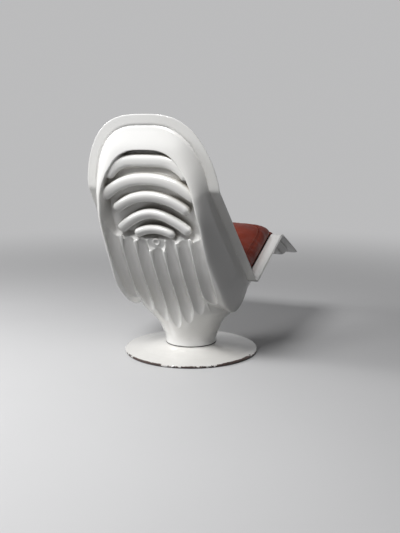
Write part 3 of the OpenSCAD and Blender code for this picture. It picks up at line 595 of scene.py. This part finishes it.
WHITE = gelcoat("white_gelcoat", (0.83, 0.827, 0.812), (0.79, 0.782, 0.757), 0.85)
# painted shade: both leathers' tones are set darker and redder than the cognac leather is, for the shadow
# the pads lie in
LEATHER = leather("cognac_leather", (0.2, 0.02, 0.003), (0.13, 0.011, 0.002))
WELT = leather("welt_leather", (0.17, 0.017, 0.003), (0.11, 0.009, 0.002))
THREAD = machined("thread", (0.34, 0.1, 0.04), (0.24, 0.065, 0.026), 0.55, (1, 1, 1), Sheen_Weight=0.2)
STEEL = machined("steel", (0.62, 0.62, 0.63), (0.45, 0.45, 0.46), 0.25, (1, 1, 12), Metallic=1.0)
BRASS = machined("cage_brass", (0.72, 0.52, 0.22), (0.5, 0.34, 0.14), 0.3, Metallic=1.0)
CAST_IRON = machined("hub_iron", (0.035, 0.035, 0.037), (0.07, 0.066, 0.062), 0.35, Coat_Weight=0.2)
PLASTIC = machined("bush_plastic", (0.84, 0.82, 0.74), (0.7, 0.67, 0.58), 0.35, (1, 1, 8),
                   Specular_IOR_Level=0.4)
# what the CAD nodes that stay are made of
KEPT_NODES = [
    (chipped_paint(), ["base_disc"]),
    (rubber(), ["floor_ring", "neck_seal"]),
    (STEEL, ["pivot_post", "post_screws", "lower_race", "upper_race", "bearing_balls", "retaining_washer",
             "retaining_nut", "hub_bolts", "hub_washers", "hub_nuts"]),
    (BRASS, ["ball_cage"]),
    (CAST_IRON, ["swivel_hub"]),
    (PLASTIC, ["lower_bush", "upper_bush"]),
    (plywood(), ["mounting_board"]),
    (hook_tape(), ["grip_tapes"])]


def finish_with(o, mat):
    """Gives an object one material."""
    o.data.materials.clear()
    o.data.materials.append(mat)


for mat, nodes in KEPT_NODES:
    for node in nodes:
        finish_with(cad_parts[node], mat)


# ---- the moulded shell
# the pedestal's sections: share of its height, reach to the rear, front and side over the neck's, power
FUNNEL = [(0, 1, 1, 1, 2), (0.07, 1.003, 1.003, 1.003, 2), (0.14, 1.05, 1.05, 1.05, 2),
          (0.19, 1.11, 1.11, 1.11, 2), (0.29, 1.22, 1.22, 1.22, 2), (0.375, 1.32, 1.28, 1.38, 2.1),
          (0.47, 1.44, 1.36, 1.6, 2.3), (0.55, 1.56, 1.42, 1.76, 2.6), (0.63, 1.65, 1.52, 1.8, 3),
          (0.735, 1.78, 1.64, 1.84, 3.5), (0.82, 1.93, 1.75, 1.87, 4), (0.94, 2.12, 1.86, 1.87, 4),
          (1.02, 2.2, 1.93, 1.87, 4)]
FUNNEL_STEPS = 4
# the flutes, from the middle one out: where they start and end on the back and how fast they deepen, as
# shares of its length, and how far they lift out of the pedestal, as shares of their depth
FLUTE_START, FLUTE_END = [0.355, 0.265, 0.245, 0.18], 0.77
FLUTE_EASE = [0.085, 0.085, 0.085, 0.16]
WALL_SECTIONS, FLUTE_LIFT = (9, 8, 7, 6, 5, 4), [0, 0.04, 0.16, 0.38, 0.68, 1.1]
FLUTE_RISE, LIFT_DOWN = 1.05, 0.35
# place down the back, half span, drop at the ends, power of the curve, size
BARS = [(0, 0.283, 0.086, 3.7, 0.98), (1.08, 0.33, 0.104, 2.25, 0.94), (2.05, 0.254, 0.08, 2, 0.86),
        (3.05, 0.245, 0.107, 1.8, 0.83), (4.02, 0.122, 0.0275, 2, 0.75)]
# where the ridges begin with a nub, from the middle out, and its half heights over the ridge's width
NUBS, NUB_LEN = [0.43, 0.355, 0.315], 0.1
NUB_R, NUB_AT, NUB_PROUD = [0.9, 1.25, 0.95, 0.5], [0, 3, 7, 12], 2.0
# bead on each ridge, found from BEAD_FROM mm above it and no further off than BEAD_MISS metres
BEAD_R, BEAD_PROUD, BEAD_FROM, BEAD_MISS = 3.6, 2.2, 40, 0.035
BOSS_S = float(at(1, 0.365))
BOSS_H, BOSS_EDGE_R, DIMPLE_R, DIMPLE_UP = BOSS_R * 0.5, 3, BOSS_R * 0.75, BOSS_R * 0.35
BAR_POINTS, NUB_POINTS = 49, 13
SHELL_VOXEL, SHELL_ROUNDS, SHELL_KEPT = 0.002, 3, 0.3


def funnel_z(share):
    return mix(NECK_Z, CROTCH[1], share)


def funnel(wall, drop_first, drop_last, sides=120):
    """The pedestal's form inside a wall that may change from section to section."""
    rows = catmull(np.array(FUNNEL), FUNNEL_STEPS)
    c, q = circle(sides)
    rings = []
    for i, f in enumerate(rows):
        g = wall(i / FUNNEL_STEPS)
        z = funnel_z(f[0]) - (drop_first if i == 0 else drop_last if i == len(rows) - 1 else 0)
        rear, front, side = f[1] * NECK_R - g, f[2] * NECK_R - g, f[3] * NECK_R - g
        cx = side * np.sign(c) * np.abs(c) ** (2 / f[4])
        cy = (rear - front) / 2 + (rear + front) / 2 * np.sign(q) * np.abs(q) ** (2 / f[4])
        rings.append(np.stack([cx, cy, np.full(sides, z)], 1))
    return loft(rings)


def square(v):
    """Takes the cosines and sines of a round section to a slightly squarer one."""
    return np.sign(v) * np.abs(v) ** (2 / 2.5)


def ridge_bead(tree, x, line, out):
    """Thin bead along the top of a ridge between two flutes."""
    path, up = [], []
    for p, n in zip(line, out):
        hit = tree.ray_cast(Vector((x, *(p + n * BEAD_FROM))) * MM, Vector((0, *-n)))[0]
        if hit and (Vector((x, *p)) * MM - hit).length < BEAD_MISS:
            path.append(np.array(hit) / MM)
            up.append([0, *n])
    path, up = np.array(path), np.array(up)
    path = sum(np.roll(path, k, 0) for k in (-1, 0, 1))[1:-1] / 3
    up = up[1:-1]
    fade = np.minimum(1, (len(path) - 1 - np.arange(len(path))) / 6)
    path -= up * (BEAD_R - BEAD_PROUD * fade)[:, None]
    return fix_normals(make("bead", *sweep(path, up, BEAD_R, 20, 4)))


def bead_tube(s, x, up_r, side_r, proud=0.0):
    """Round-ended tube on the crests of the back, with its half height and half width at each point."""
    path = spot(s, x, crest_d(s) - up_r + proud)
    tan = unit_rows(np.gradient(path, axis=0))
    n = depth_dir(s)
    n = np.stack([0 * x, n[:, 0], n[:, 1]], 1)
    up = unit_rows(n - tan * (n * tan).sum(1)[:, None])
    side = np.cross(up, tan)
    tips = round_end(8)
    stops = [(0, -1, f) for f in tips] + [(i, 0, 0) for i in range(len(s))]
    stops += [(-1, 1, f) for f in tips[::-1]]
    c, q = [square(v)[:, None] for v in circle(40)]
    rings = []
    for i, way, f in stops:
        middle = path[i] + way * tan[i] * side_r[i] * math.sin(f)
        rings.append(middle + math.cos(f) * (side_r[i] * c * side[i] + up_r[i] * q * up[i]))
    return fix_normals(make("bar", *loft(rings)))


def on_back(name, s, d, sections):
    """Round solid that stands on the back at a station, from its sections (height, radius)."""
    slope = (crest_d(BOSS_S + SOFT_H) - crest_d(BOSS_S - SOFT_H)) / (2 * SOFT_H)
    turn = math.radians(math.degrees(math.atan(float(slope[0]))) - 90 - float(depth_angle(s)[0]))
    c, q = circle(64)
    pts, faces = loft([np.stack([r * c, r * q, np.full(64, z)], 1) for z, r in sections])
    y, z = pts[:, 1].copy(), pts[:, 2].copy()
    pts[:, 1], pts[:, 2] = y * math.cos(turn) - z * math.sin(turn), y * math.sin(turn) + z * math.cos(turn)
    return fix_normals(make(name, pts + spot(s, 0, d), faces))


def boss():
    """Low stud under the lowest bar, with a dimple."""
    d = float(crest_d(BOSS_S)[0]) - BAR_R
    edge = [(BOSS_H - BOSS_EDGE_R + BOSS_EDGE_R * math.sin(a),
             BOSS_R * 0.86 - BOSS_EDGE_R + BOSS_EDGE_R * math.cos(a)) for a in np.linspace(0, 1.5, 6)]
    stud = on_back("boss", BOSS_S, d, [(-BOSS_H, BOSS_R * 1.1), (0, BOSS_R * 0.94)] + edge)
    ball = [(BOSS_H + DIMPLE_UP - DIMPLE_R * math.cos(a), DIMPLE_R * math.sin(a))
            for a in np.linspace(0.05, 3.0, 24)]
    boolean(stud, on_back("dimple", BOSS_S, d, ball), "DIFFERENCE")
    return stud


def skin():
    """The shell between its flange, its bolsters and its recess."""
    ts = np.concatenate([[0, 0.02, 0.045, 0.07, 0.1], np.linspace(0.14, 1, 18)])
    rear = [slope_ring(t, 0) for t in ts] + [recess_ring(t, 0) for t in np.linspace(0.08, 1, 12)]
    hollow = [recess_ring(t, 1) for t in (1, 0.6)]
    hollow += [slope_ring(t, SHELL_T) for t in (0.72, 0.48, 0.28, 0.12, 0)]
    start = [flat_ring(FLANGE_W + SHELL_T + 2, -RIM_T + 0.4), flat_ring(FLANGE_W - 0.5, -RIM_T + 0.4)]
    return fix_normals(make("outer_moulding", *bowl(hollow + start + rear)))


def pedestal():
    """The pedestal as far as it stands outside the hollow of the skin."""
    cone = fix_normals(make("cone", *funnel(lambda k: 0.0, 0, 0)))
    s, x = outline(FLANGE_W + SHELL_T, FLANGE_W + SHELL_T, FLANGE_W + SHELL_T)
    void = [spot(s, x, np.full(ROWS, -BAR_R * 2))] + [slope_ring(t, SHELL_T) for t in (0, 0.28, 0.72)]
    void = fix_normals(make("void", *bowl(void + [recess_ring(t, 1) for t in (0.6, 1)])))
    boolean(cone, void, "DIFFERENCE")
    return cone


def wall_points():
    """Points down the rear of the pedestal, as (y, z)."""
    return np.array([(FUNNEL[k][1] * NECK_R, funnel_z(FUNNEL[k][0])) for k in WALL_SECTIONS])


def flutes():
    """The cutters of the seven flutes, from the bars down the back and out of the pedestal's rear."""
    width = FLUTE_PITCH - RIDGE_W
    r = (width ** 2 / 4 + FLUTE_DEPTH ** 2) / (2 * FLUTE_DEPTH)
    lift_dir = np.array([1, -LIFT_DOWN]) / math.hypot(1, LIFT_DOWN)
    for k, start in enumerate(FLUTE_START):
        s = np.linspace(at(1, start), at(1, FLUTE_END), 12)
        rise = FLUTE_DEPTH * FLUTE_RISE * (1 - ease((s - s[0]) / (BACK_LEN * FLUTE_EASE[k])))
        line = rim(s) + depth_dir(s) * (crest_d(s) - FLUTE_DEPTH + r + rise)[:, None]
        line = catmull(np.concatenate([line, wall_points() + lift_dir * (
            r - FLUTE_DEPTH + FLUTE_DEPTH * np.array(FLUTE_LIFT))[:, None]]), 6)
        tan = unit_rows(np.gradient(line, axis=0))
        up = np.stack([0 * tan[:, 0], -tan[:, 1], tan[:, 0]], 1)
        for side in ((1,) if k == 0 else (1, -1)):
            path = np.stack([np.full(len(line), side * k * FLUTE_PITCH), line[:, 0], line[:, 1]], 1)
            yield fix_normals(make("flute", *sweep(path, up, r, 64)))


def boss_hollow():
    """Cutter of the hollow round the boss."""
    d = float(crest_d(BOSS_S)[0]) - BAR_R * 0.8
    return on_back("hollow", BOSS_S, d, [(BAR_R * 2 * t, BOSS_R * (1.9 + 1.7 * t)) for t in (0, 0.5, 1)])


def arched_bars():
    """The five bars across the recess."""
    u = np.sin(np.radians(np.linspace(-90, 90, BAR_POINTS)))
    one = np.ones(BAR_POINTS)
    for place, half, drop, power, size in BARS:
        s = BAR_FIRST + place * BAR_PITCH + drop * HEAD_W * np.abs(u) ** power
        yield bead_tube(s, half * HEAD_W * u, BAR_R * size * one, BAR_W / 2 * size * one)


def nubs():
    """The rounded heads of the ridges."""
    r = np.interp(np.arange(NUB_POINTS), NUB_AT, np.array(NUB_R) * RIDGE_W)
    for k, share in enumerate(NUBS):
        s = np.linspace(at(1, share), at(1, share + NUB_LEN), NUB_POINTS)
        for side in (-1, 1):
            x = side * (k + 0.5) * FLUTE_PITCH * np.ones(NUB_POINTS)
            yield bead_tube(s, x, r * 0.9, r * 1.25, NUB_PROUD)


def ridge_beads(o):
    """Beads that follow the ridges of the cut shell."""
    tree = BVHTree.FromObject(o, bpy.context.evaluated_depsgraph_get())
    for k, share in enumerate(NUBS):
        s = np.linspace(at(1, share + 0.03), at(1, FLUTE_END), 26)
        line = rim(s) + depth_dir(s) * crest_d(s)[:, None]
        line = catmull(np.concatenate([line, wall_points()[:4]]), 3)
        tan = unit_rows(np.gradient(line, axis=0))
        out = np.stack([-tan[:, 1], tan[:, 0]], 1)
        for side in (-1, 1):
            yield ridge_bead(tree, side * (k + 0.5) * FLUTE_PITCH, line, out)


def pedestal_wall(k):
    """Wall of the pedestal at a section, thicker above the neck, where the flutes cut into it."""
    return SHELL_T + (FLUTE_DEPTH + SHELL_T) * float(ease((k - 4) / 1.5))


def remesh(o, voxel, rounds):
    """One even skin over an object, smoothed so many rounds."""
    m = o.modifiers.new("r", "REMESH")
    m.mode, m.voxel_size, m.use_smooth_shade = "VOXEL", voxel, True
    if rounds:
        m = o.modifiers.new("s", "SMOOTH")
        m.factor, m.iterations = 0.5, rounds
    apply_modifiers(o)


shell = skin()
boolean(shell, pedestal(), "UNION")
for cutter in flutes():
    boolean(shell, cutter, "DIFFERENCE")
boolean(shell, boss_hollow(), "DIFFERENCE")
for part in [boss(), *arched_bars(), *nubs(), *ridge_beads(shell)]:
    boolean(shell, part, "UNION")
boolean(shell, fix_normals(make("cone_void", *funnel(pedestal_wall, 2, SHELL_T))), "DIFFERENCE")
remesh(shell, SHELL_VOXEL, SHELL_ROUNDS)
shell.modifiers.new("d", "DECIMATE").ratio = SHELL_KEPT
apply_modifiers(shell)
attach(shell, "chair")

# the flat rim, a piece of its own so that its fold and edge stay crisp
FLANGE_STEPS = [FLANGE_W + SHELL_T + 2, 30, 15, 5]
EDGE_R, FLANGE_BACK = 1.9, -0.1
flat = [flat_ring(e, -RIM_T) for e in FLANGE_STEPS]
flat += [flat_ring(EDGE_R * (1 - math.cos(a)), -RIM_T / 2 - EDGE_R * math.sin(a))
         for a in np.radians([80, 50, 20, 0, -20, -50, -80])]
flat += [flat_ring(e, FLANGE_BACK) for e in FLANGE_STEPS[::-1]]
flange = fix_normals(make("rim_flange", *hoop(flat)))
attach(flange, "chair")
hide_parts("outer_shell")
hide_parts("outer_shell")
for o in (shell, flange):
    finish_with(o, WHITE)

# ---- liner
# its lip behind the flange, its depth along the middle, and how its wall rises from the floor
LIP_D = -RIM_T - LINER_T - FIT
LINER_DEPTH = BOLSTER_DEPTH * 0.44
TRAY_FLOOR = THIGH_DEPTH - SHELL_T - LINER_T - RIM_T
LEG_FLOOR = LEG_DEPTH - SHELL_T - LINER_T - RIM_T * 0.75
LINER = [(at(a, b), LIP_D + c * (LINER_DEPTH - LIP_D)) for a, b, c in (
    (0, 0.52, 0), (0, 0.74, 0.13), (1, 0, 0.26), (1, 0.12, 0.42), (1, 0.27, 0.7), (1, 0.55, 0.88),
    (1, 0.95, 0.9), (2, 0.05, 0.56))]
LINER += [(at(2, 0.1), TRAY_FLOOR), (at(2, 0.86), TRAY_FLOOR),
          (at(3, 0.18), LEG_FLOOR), (FOOT_S, LEG_FLOOR)]
LINER_WALL = BOLSTER_W * 0.8
LINER_FOLD = FLANGE_W + SHELL_T * 1.6
WALL = [(t, float(np.interp(t, [0, 0.25, 0.6, 1], [0, 0.45, 0.85, 1])))
        for t in (1, 0.8, 0.6, 0.42, 0.25, 0.12, 0)]


def liner_d(s):
    return soft(s, LINER)


def liner_end(e):
    """Inset at the foot, where the liner runs on further than at the sides."""
    return mix(LINER_FOLD, e, 0.55 if e > LINER_FOLD else 1)


def liner_ring(e, share, back):
    """Ring set in by e, at a share of the way from the lip to the liner's floor."""
    s, x = outline(e, e, liner_end(e))
    return spot(s, x, mix(LIP_D, liner_d(s), share) + back)


liner_rings = [liner_ring(LINER_FOLD + LINER_T + LINER_WALL * t, y, 0) for t, y in WALL]
liner_rings += [liner_ring(LIP_INSET + 1, 0, 0), liner_ring(LIP_INSET, 0, 1), liner_ring(LIP_INSET, 0, 3),
                liner_ring(LIP_INSET + 1, 0, LINER_T)]
liner_rings += [liner_ring(LINER_FOLD + LINER_WALL * t, y, LINER_T) for t, y in WALL[::-1]]
liner = fix_normals(make("liner_moulding", *bowl(liner_rings)))
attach(liner, "chair")
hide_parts("inner_liner")
finish_with(liner, WHITE)

# ---- pads
# where each pad starts and ends, and the shares (half width, height) of its crown
PAD_GAP = FLANGE_W * 0.12
PAD_S = {"head_pad": (FLANGE_W * 1.6, KINK_S - PAD_GAP),
         "back_pad": (KINK_S + PAD_GAP, CROTCH_S - BACK_LEN * 0.1),
         "seat_pad": (CROTCH_S - BACK_LEN * 0.085, KNEE_S - PAD_GAP * 1.5),
         "leg_pad": (KNEE_S + PAD_GAP * 1.5, FOOT_S - liner_end(LINER_FOLD + LINER_T * 2 + LINER_WALL))}
PAD_TOP = [(1, 0.12), (0.99, 0.28), (0.965, 0.46), (0.92, 0.63), (0.85, 0.77), (0.76, 0.86),
           (0.6, 0.93), (0.4, 0.975), (0.2, 0.995), (0, 1)]
PAD_EDGE = LINER_FOLD + LINER_T * 1.4
PAD_VOXEL, PAD_ROWS = 0.006, 64
# before the cloth runs, the pad is this much smaller all round, and lower by START_LOW
START_IN = 3.0
START_LOW = {"head_pad": 8.0, "back_pad": 9.0, "seat_pad": 0.0, "leg_pad": 8.0}
# the cloth: pressure and frames, how far a point may move, the height above the rim at which it comes
# free and over which it does so, in mm, and how near the seam it is held, in metres
PRESSURE, FRAMES = 4, 20
PUFF = {"head_pad": 14.0, "back_pad": 16.0, "seat_pad": 20.0, "leg_pad": 14.0}
FREE_FROM, FREE_OVER, SEAM_HELD = 4, 18, 0.006
# seam and piping in mm, then steps and sizes of the piping and the stitches in metres
SEAM_IN, SEAM_POWER, WELT_R, STITCH_IN = 27.0, 7.0, 2.4, 7.0
WELT_STEP = 0.005
STITCH_STEP, STITCH_HALF, STITCH_R = 0.0075, 0.0027, 0.00055
# how the seam pulls the leather in and raises folds beside it: heights in mm, reaches in metres
SEAM_DIPS, FOLD_HIGH, FOLD_AT_SEAM, FOLD_REACH = [(-2.6, 0.0045), (-1.6, 0.014)], 0.35, 1.3, 0.03
RIM_ROWS = np.arange(0, FOOT_S, 6.0)


def inner_x(s, e):
    """Half width at e inside the rim, rounded off at the head."""
    base = np.maximum(0, 1 - (np.maximum(0, KINK_S - s) / (HEAD_LEN - FLANGE_W * 1.4)) ** ROUND_S)
    return np.where(s >= KINK_S, rim_x(s) - e, (HEAD_W / 2 - e) * base ** (1 / ROUND_X))


def pad_form(s0, s1, high, inset):
    """The pad as its solid has it, with more points."""
    j = np.linspace(0, 1, PAD_ROWS + 1)
    s = mix(s0 + inset, s1 - inset, mix(j, 0.5 - 0.5 * np.cos(np.pi * j), 0.6))
    u = (s - s0) / (s1 - s0)
    end = np.maximum(0, 1 - np.abs(2 * u - 1) ** 7) ** 0.45
    low = liner_d(s) - TAPE_T - FIT
    wide = inner_x(s, PAD_EDGE + inset + FLANGE_W * 0.1 * (1 - end))
    top = (-high + inset) * (0.3 + 0.7 * end) - RIM_T
    half = [(wide * share, low - inset * 0.5) for share in (0, 0.3, 0.6)]
    for t, y in WALL[:-1]:
        wall_d = mix(LIP_D - TAPE_T, liner_d(s), y) - TAPE_T - FIT
        half.append((wide - LINER_WALL * t, wall_d - inset * 0.5))
    for a, b in PAD_TOP:
        half.append((wide * a, mix(np.minimum(low, LIP_D) - 2 * TAPE_T, top, b)))
    right = [spot(s, x, d) for x, d in half]
    left = [spot(s, -x, d) for x, d in half[-2:0:-1]]
    return loft(list(np.stack(right + left, 1)))


def seam_line(node, inward=0.0):
    """Stations and distances from the middle of the seam that runs round the top of a pad."""
    s0, s1 = PAD_S[node]
    c, q = circle(400)
    half = (s1 - s0) / 2 - SEAM_IN - inward
    s = (s0 + s1) / 2 + half * np.sign(c) * np.abs(c) ** (2 / SEAM_POWER)
    x = (inner_x(s, PAD_EDGE) - SEAM_IN - inward) * np.sign(q) * np.abs(q) ** (2 / SEAM_POWER)
    return s, x


def on_pad(o, s, x):
    """Where lines straight into the pad at these places meet it."""
    tree = BVHTree.FromObject(o, bpy.context.evaluated_depsgraph_get())
    hits = [tree.ray_cast(Vector(p), Vector((0, *way)))[0]
            for p, way in zip(spot(s, x, -250) * MM, depth_dir(s))]
    return np.array([hit for hit in hits if hit])


def vectors(rows, field):
    """One vector of each element of a mesh, as an array."""
    out = np.empty(len(rows) * 3)
    rows.foreach_get(field, out)
    return out.reshape(-1, 3)


def distance_to(pts, co):
    """How far each of co is from the nearest of pts."""
    tree = KDTree(len(pts))
    for i, p in enumerate(pts):
        tree.insert(p, i)
    tree.balance()
    return np.array([tree.find(p)[2] for p in co])


def along(loop, gap):
    """Evenly spaced points of a closed loop of points, with their neighbours' direction."""
    ring = np.concatenate([loop, loop[:1]])
    run = np.concatenate([[0], np.cumsum(np.linalg.norm(np.diff(ring, axis=0), axis=1))])
    at_run = np.linspace(0, run[-1], max(8, int(run[-1] / gap)), endpoint=False)
    pts = np.stack([np.interp(at_run, run, ring[:, k]) for k in range(3)], 1)
    return pts, unit_rows(np.roll(pts, -1, 0) - np.roll(pts, 1, 0))


def settle(o, seam, cap):
    """Blows the pad up inside its seam with Cloth, and holds it where it lies in the liner."""
    rest = vectors(o.data.vertices, "co")
    free = ease((height_over_rim(rest) - FREE_FROM) / FREE_OVER)
    held = o.vertex_groups.new(name="held")
    for i, w in enumerate(np.maximum(1 - free, (distance_to(seam, rest) < SEAM_HELD) * 1.0)):
        if w > 0.02:
            held.add([i], float(w), "REPLACE")
    cloth = o.modifiers.new("cloth", "CLOTH")
    cloth.settings.vertex_group_mass = "held"
    cloth.settings.use_pressure, cloth.settings.uniform_pressure_force = True, PRESSURE
    cloth.settings.quality = 4
    cloth.settings.effector_weights.gravity = 0
    cloth.collision_settings.use_collision = False
    cloth.point_cache.frame_start, cloth.point_cache.frame_end = 1, FRAMES
    for f in range(1, FRAMES + 1):
        scene.frame_set(f)
    apply_modifiers(o)
    scene.frame_set(1)
    move = vectors(o.data.vertices, "co") - rest
    far = np.linalg.norm(move, axis=1)
    most = cap * MM * free + 1e-6
    move *= np.minimum(1, most / np.maximum(far, 1e-9))[:, None]
    o.data.vertices.foreach_set("co", (rest + move).ravel())
    o.vertex_groups.clear()


def height_over_rim(co):
    """How far points in metres stand above the rim, in mm, each against its nearest station."""
    line = rim(RIM_ROWS)
    way = depth_dir(RIM_ROWS)
    out = np.empty(len(co))
    for i in range(0, len(co), 4000):
        d = co[i:i + 4000, None, 1:] / MM - line[None]
        up = -(d * way[None]).sum(2)
        across = np.abs(d[..., 0] * way[None, :, 1] - d[..., 1] * way[None, :, 0])
        out[i:i + 4000] = up[np.arange(len(d)), across.argmin(1)]
    return out


def add_cushion(name, node):
    """One upholstered pad with its piping and its stitches."""
    inset, low = ((START_IN, START_LOW[node]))
    o = fix_normals(make(name, *pad_form(*PAD_S[node], PAD_HIGH[node] - low, inset)))
    remesh(o, PAD_VOXEL, 0)
    line = seam_line(node)
    settle(o, on_pad(o, *line), PUFF[node])
    o.modifiers.new("fine", "SUBSURF").levels = 1
    apply_modifiers(o)
    seam = along(on_pad(o, *line), 0.003)[0]
    co, no = vectors(o.data.vertices, "co"), vectors(o.data.vertex_normals, "vector")
    near = distance_to(seam, co)
    folds = np.array([noise.noise(Vector(p) * 34) + 0.5 * noise.noise(Vector(p) * 71) for p in co])
    dip = sum(high * np.exp(-(near / reach) ** 2) for high, reach in SEAM_DIPS)
    dip += folds * (FOLD_HIGH + FOLD_AT_SEAM * np.exp(-(near / FOLD_REACH) ** 2))
    free = ease((height_over_rim(co) - 2) / 14)
    o.data.vertices.foreach_set("co", (co + no * (dip * free * MM)[:, None]).ravel())
    o.data.shade_smooth()
    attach(o, "chair")
    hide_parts(node)
    finish_with(o, LEATHER)
    add_welt(o, name.replace("cushion", "welt"), line)
    add_stitches(o, name.replace("cushion", "stitches"), seam_line(node, STITCH_IN))


def add_welt(o, name, line):
    """Piping along the seam."""
    pts, tan = along(on_pad(o, *line), WELT_STEP)
    no = on_normals(o, pts)
    side = np.cross(tan, no)
    c, q = circle(12)
    centre = pts + no * WELT_R * 0.35 * MM
    rings = [m + WELT_R * MM * (c[:, None] * a + q[:, None] * b) for m, a, b in zip(centre, side, no)]
    faces = strips(len(rings), len(c), closed=True)
    welt = fix_normals(make(name, np.concatenate(rings) / MM, faces))
    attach(welt, "chair")
    finish_with(welt, WELT)


def on_normals(o, pts):
    """Normals of the object nearest to a loop of points, smoothed along it."""
    tree = BVHTree.FromObject(o, bpy.context.evaluated_depsgraph_get())
    raw = np.array([tree.find_nearest(Vector(p))[1] for p in pts])
    return unit_rows(sum(np.roll(raw, k, 0) for k in range(-3, 4)))


def add_stitches(o, name, line):
    """A row of sunk thread stitches beside the piping."""
    pts, tan = along(on_pad(o, *line), STITCH_STEP)
    no = on_normals(o, pts)
    side = np.cross(tan, no)
    c, q = circle(6)
    verts, faces = [], []
    for i, (m, t, a, b) in enumerate(zip(pts, tan, side, no)):
        stitch, own = loft([
            m + t * k * STITCH_HALF + b * (0.0002 + 0.0005 * (1 - k * k))
            + STITCH_R * math.sqrt(1.05 - k * k) * (c[:, None] * a + q[:, None] * b)
            for k in np.linspace(-1, 1, 7)])
        verts.append(stitch)
        faces += [[v + i * len(stitch) for v in face] for face in own]
    thread = make(name, np.concatenate(verts) / MM, faces)
    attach(thread, "chair")
    finish_with(thread, THREAD)


for node in PAD_S:
    add_cushion(node.replace("_pad", "_cushion"), node)

# ---- camera, floor, lights
# the photograph's height and focal length in its pixels, and the camera's tilt down in radians
PHOTO_H, FOCAL, SENSOR_H = 533, 775, 36
CAMERA_AT, CAMERA_WAY, CAMERA_TILT = (-1.324, 3.041, 0.983), (0.3885, -0.9215), 0.18259
cam = bpy.data.cameras.new("camera")
cam_o = bpy.data.objects.new("camera", cam)
scene.collection.objects.link(cam_o)
scene.camera = cam_o
cam.sensor_fit, cam.sensor_height, cam.lens = "VERTICAL", SENSOR_H, FOCAL / PHOTO_H * SENSOR_H
cam_o.location = CAMERA_AT
cam_o.rotation_euler = Vector((*CAMERA_WAY, -math.tan(CAMERA_TILT))).to_track_quat("-Z", "Y").to_euler()
scene.view_settings.view_transform = "Standard"


def seen_or_felt(nodes, seen, felt):
    """One colour for camera, glossy and transmission rays and another for the light that bounces."""
    ray = nodes.add("ShaderNodeLightPath").outputs
    share = nodes.calc("MAXIMUM", ray["Is Camera Ray"], ray["Is Glossy Ray"])
    share = nodes.calc("MAXIMUM", share, ray["Is Transmission Ray"])
    return nodes.blend(share, felt, seen)


AIR, AIR_FELT = (0.5, 0.5, 0.505), (0.08, 0.08, 0.083)
FLOOR_LIGHT, FLOOR_DARK, FLOOR_FELT = (0.62, 0.62, 0.625), (0.6, 0.6, 0.605), (0.14, 0.14, 0.14)
GLOW_FELT = (0.04, 0.04, 0.04)
FLOOR_HALF, FADE_FROM, FADE_TO = 30, 1.1, 4.2
LAMP_AIM = (0, 0.2, 0.6)
floor = Paint("floor_paint")
tone = floor.blend(floor.span(floor.noise(0.7, 3), 0.3, 0.7), FLOOR_LIGHT, FLOOR_DARK)
floor.finish(Base_Color=seen_or_felt(floor, tone, FLOOR_FELT), Roughness=0.6)
# far away the floor takes the colour of the air, so that no horizon shows
reach = floor.add("ShaderNodeVectorMath", {0: floor.where}, operation="LENGTH").outputs["Value"]
glow = floor.add("ShaderNodeEmission", {"Color": seen_or_felt(floor, AIR, GLOW_FELT)})
mixed = floor.add("ShaderNodeMixShader", {
    0: floor.span(reach, FADE_FROM, FADE_TO), 1: floor.shader.outputs[0], 2: glow.outputs[0]})
floor.set(floor.tree.nodes["Material Output"], {"Surface": mixed.outputs[0]})
corners = [(-1, -1, 0), (1, -1, 0), (1, 1, 0), (-1, 1, 0)]
ground = make("floor", np.array(corners) * FLOOR_HALF / MM, [[0, 1, 2, 3]])
finish_with(ground, floor.mat)
world = bpy.data.worlds.new("world")
scene.world = world
world.use_nodes = True
air = Nodes(world.node_tree)
air.set(air.tree.nodes["Background"], {"Color": seen_or_felt(air, AIR, AIR_FELT)})


def softbox(name, place, size, power):
    """Square lamp that looks at the chair's back."""
    lamp = bpy.data.lights.new(name, "AREA")
    lamp.size, lamp.energy = size, power
    o = bpy.data.objects.new(name, lamp)
    scene.collection.objects.link(o)
    o.location = place
    o.rotation_euler = (Vector(LAMP_AIM) - o.location).to_track_quat("-Z", "Y").to_euler()


softbox("key", (0.35, 2.2, 3.1), 1.2, 100)
softbox("side", (2.75, 1.35, 1.7), 1.0, 66)
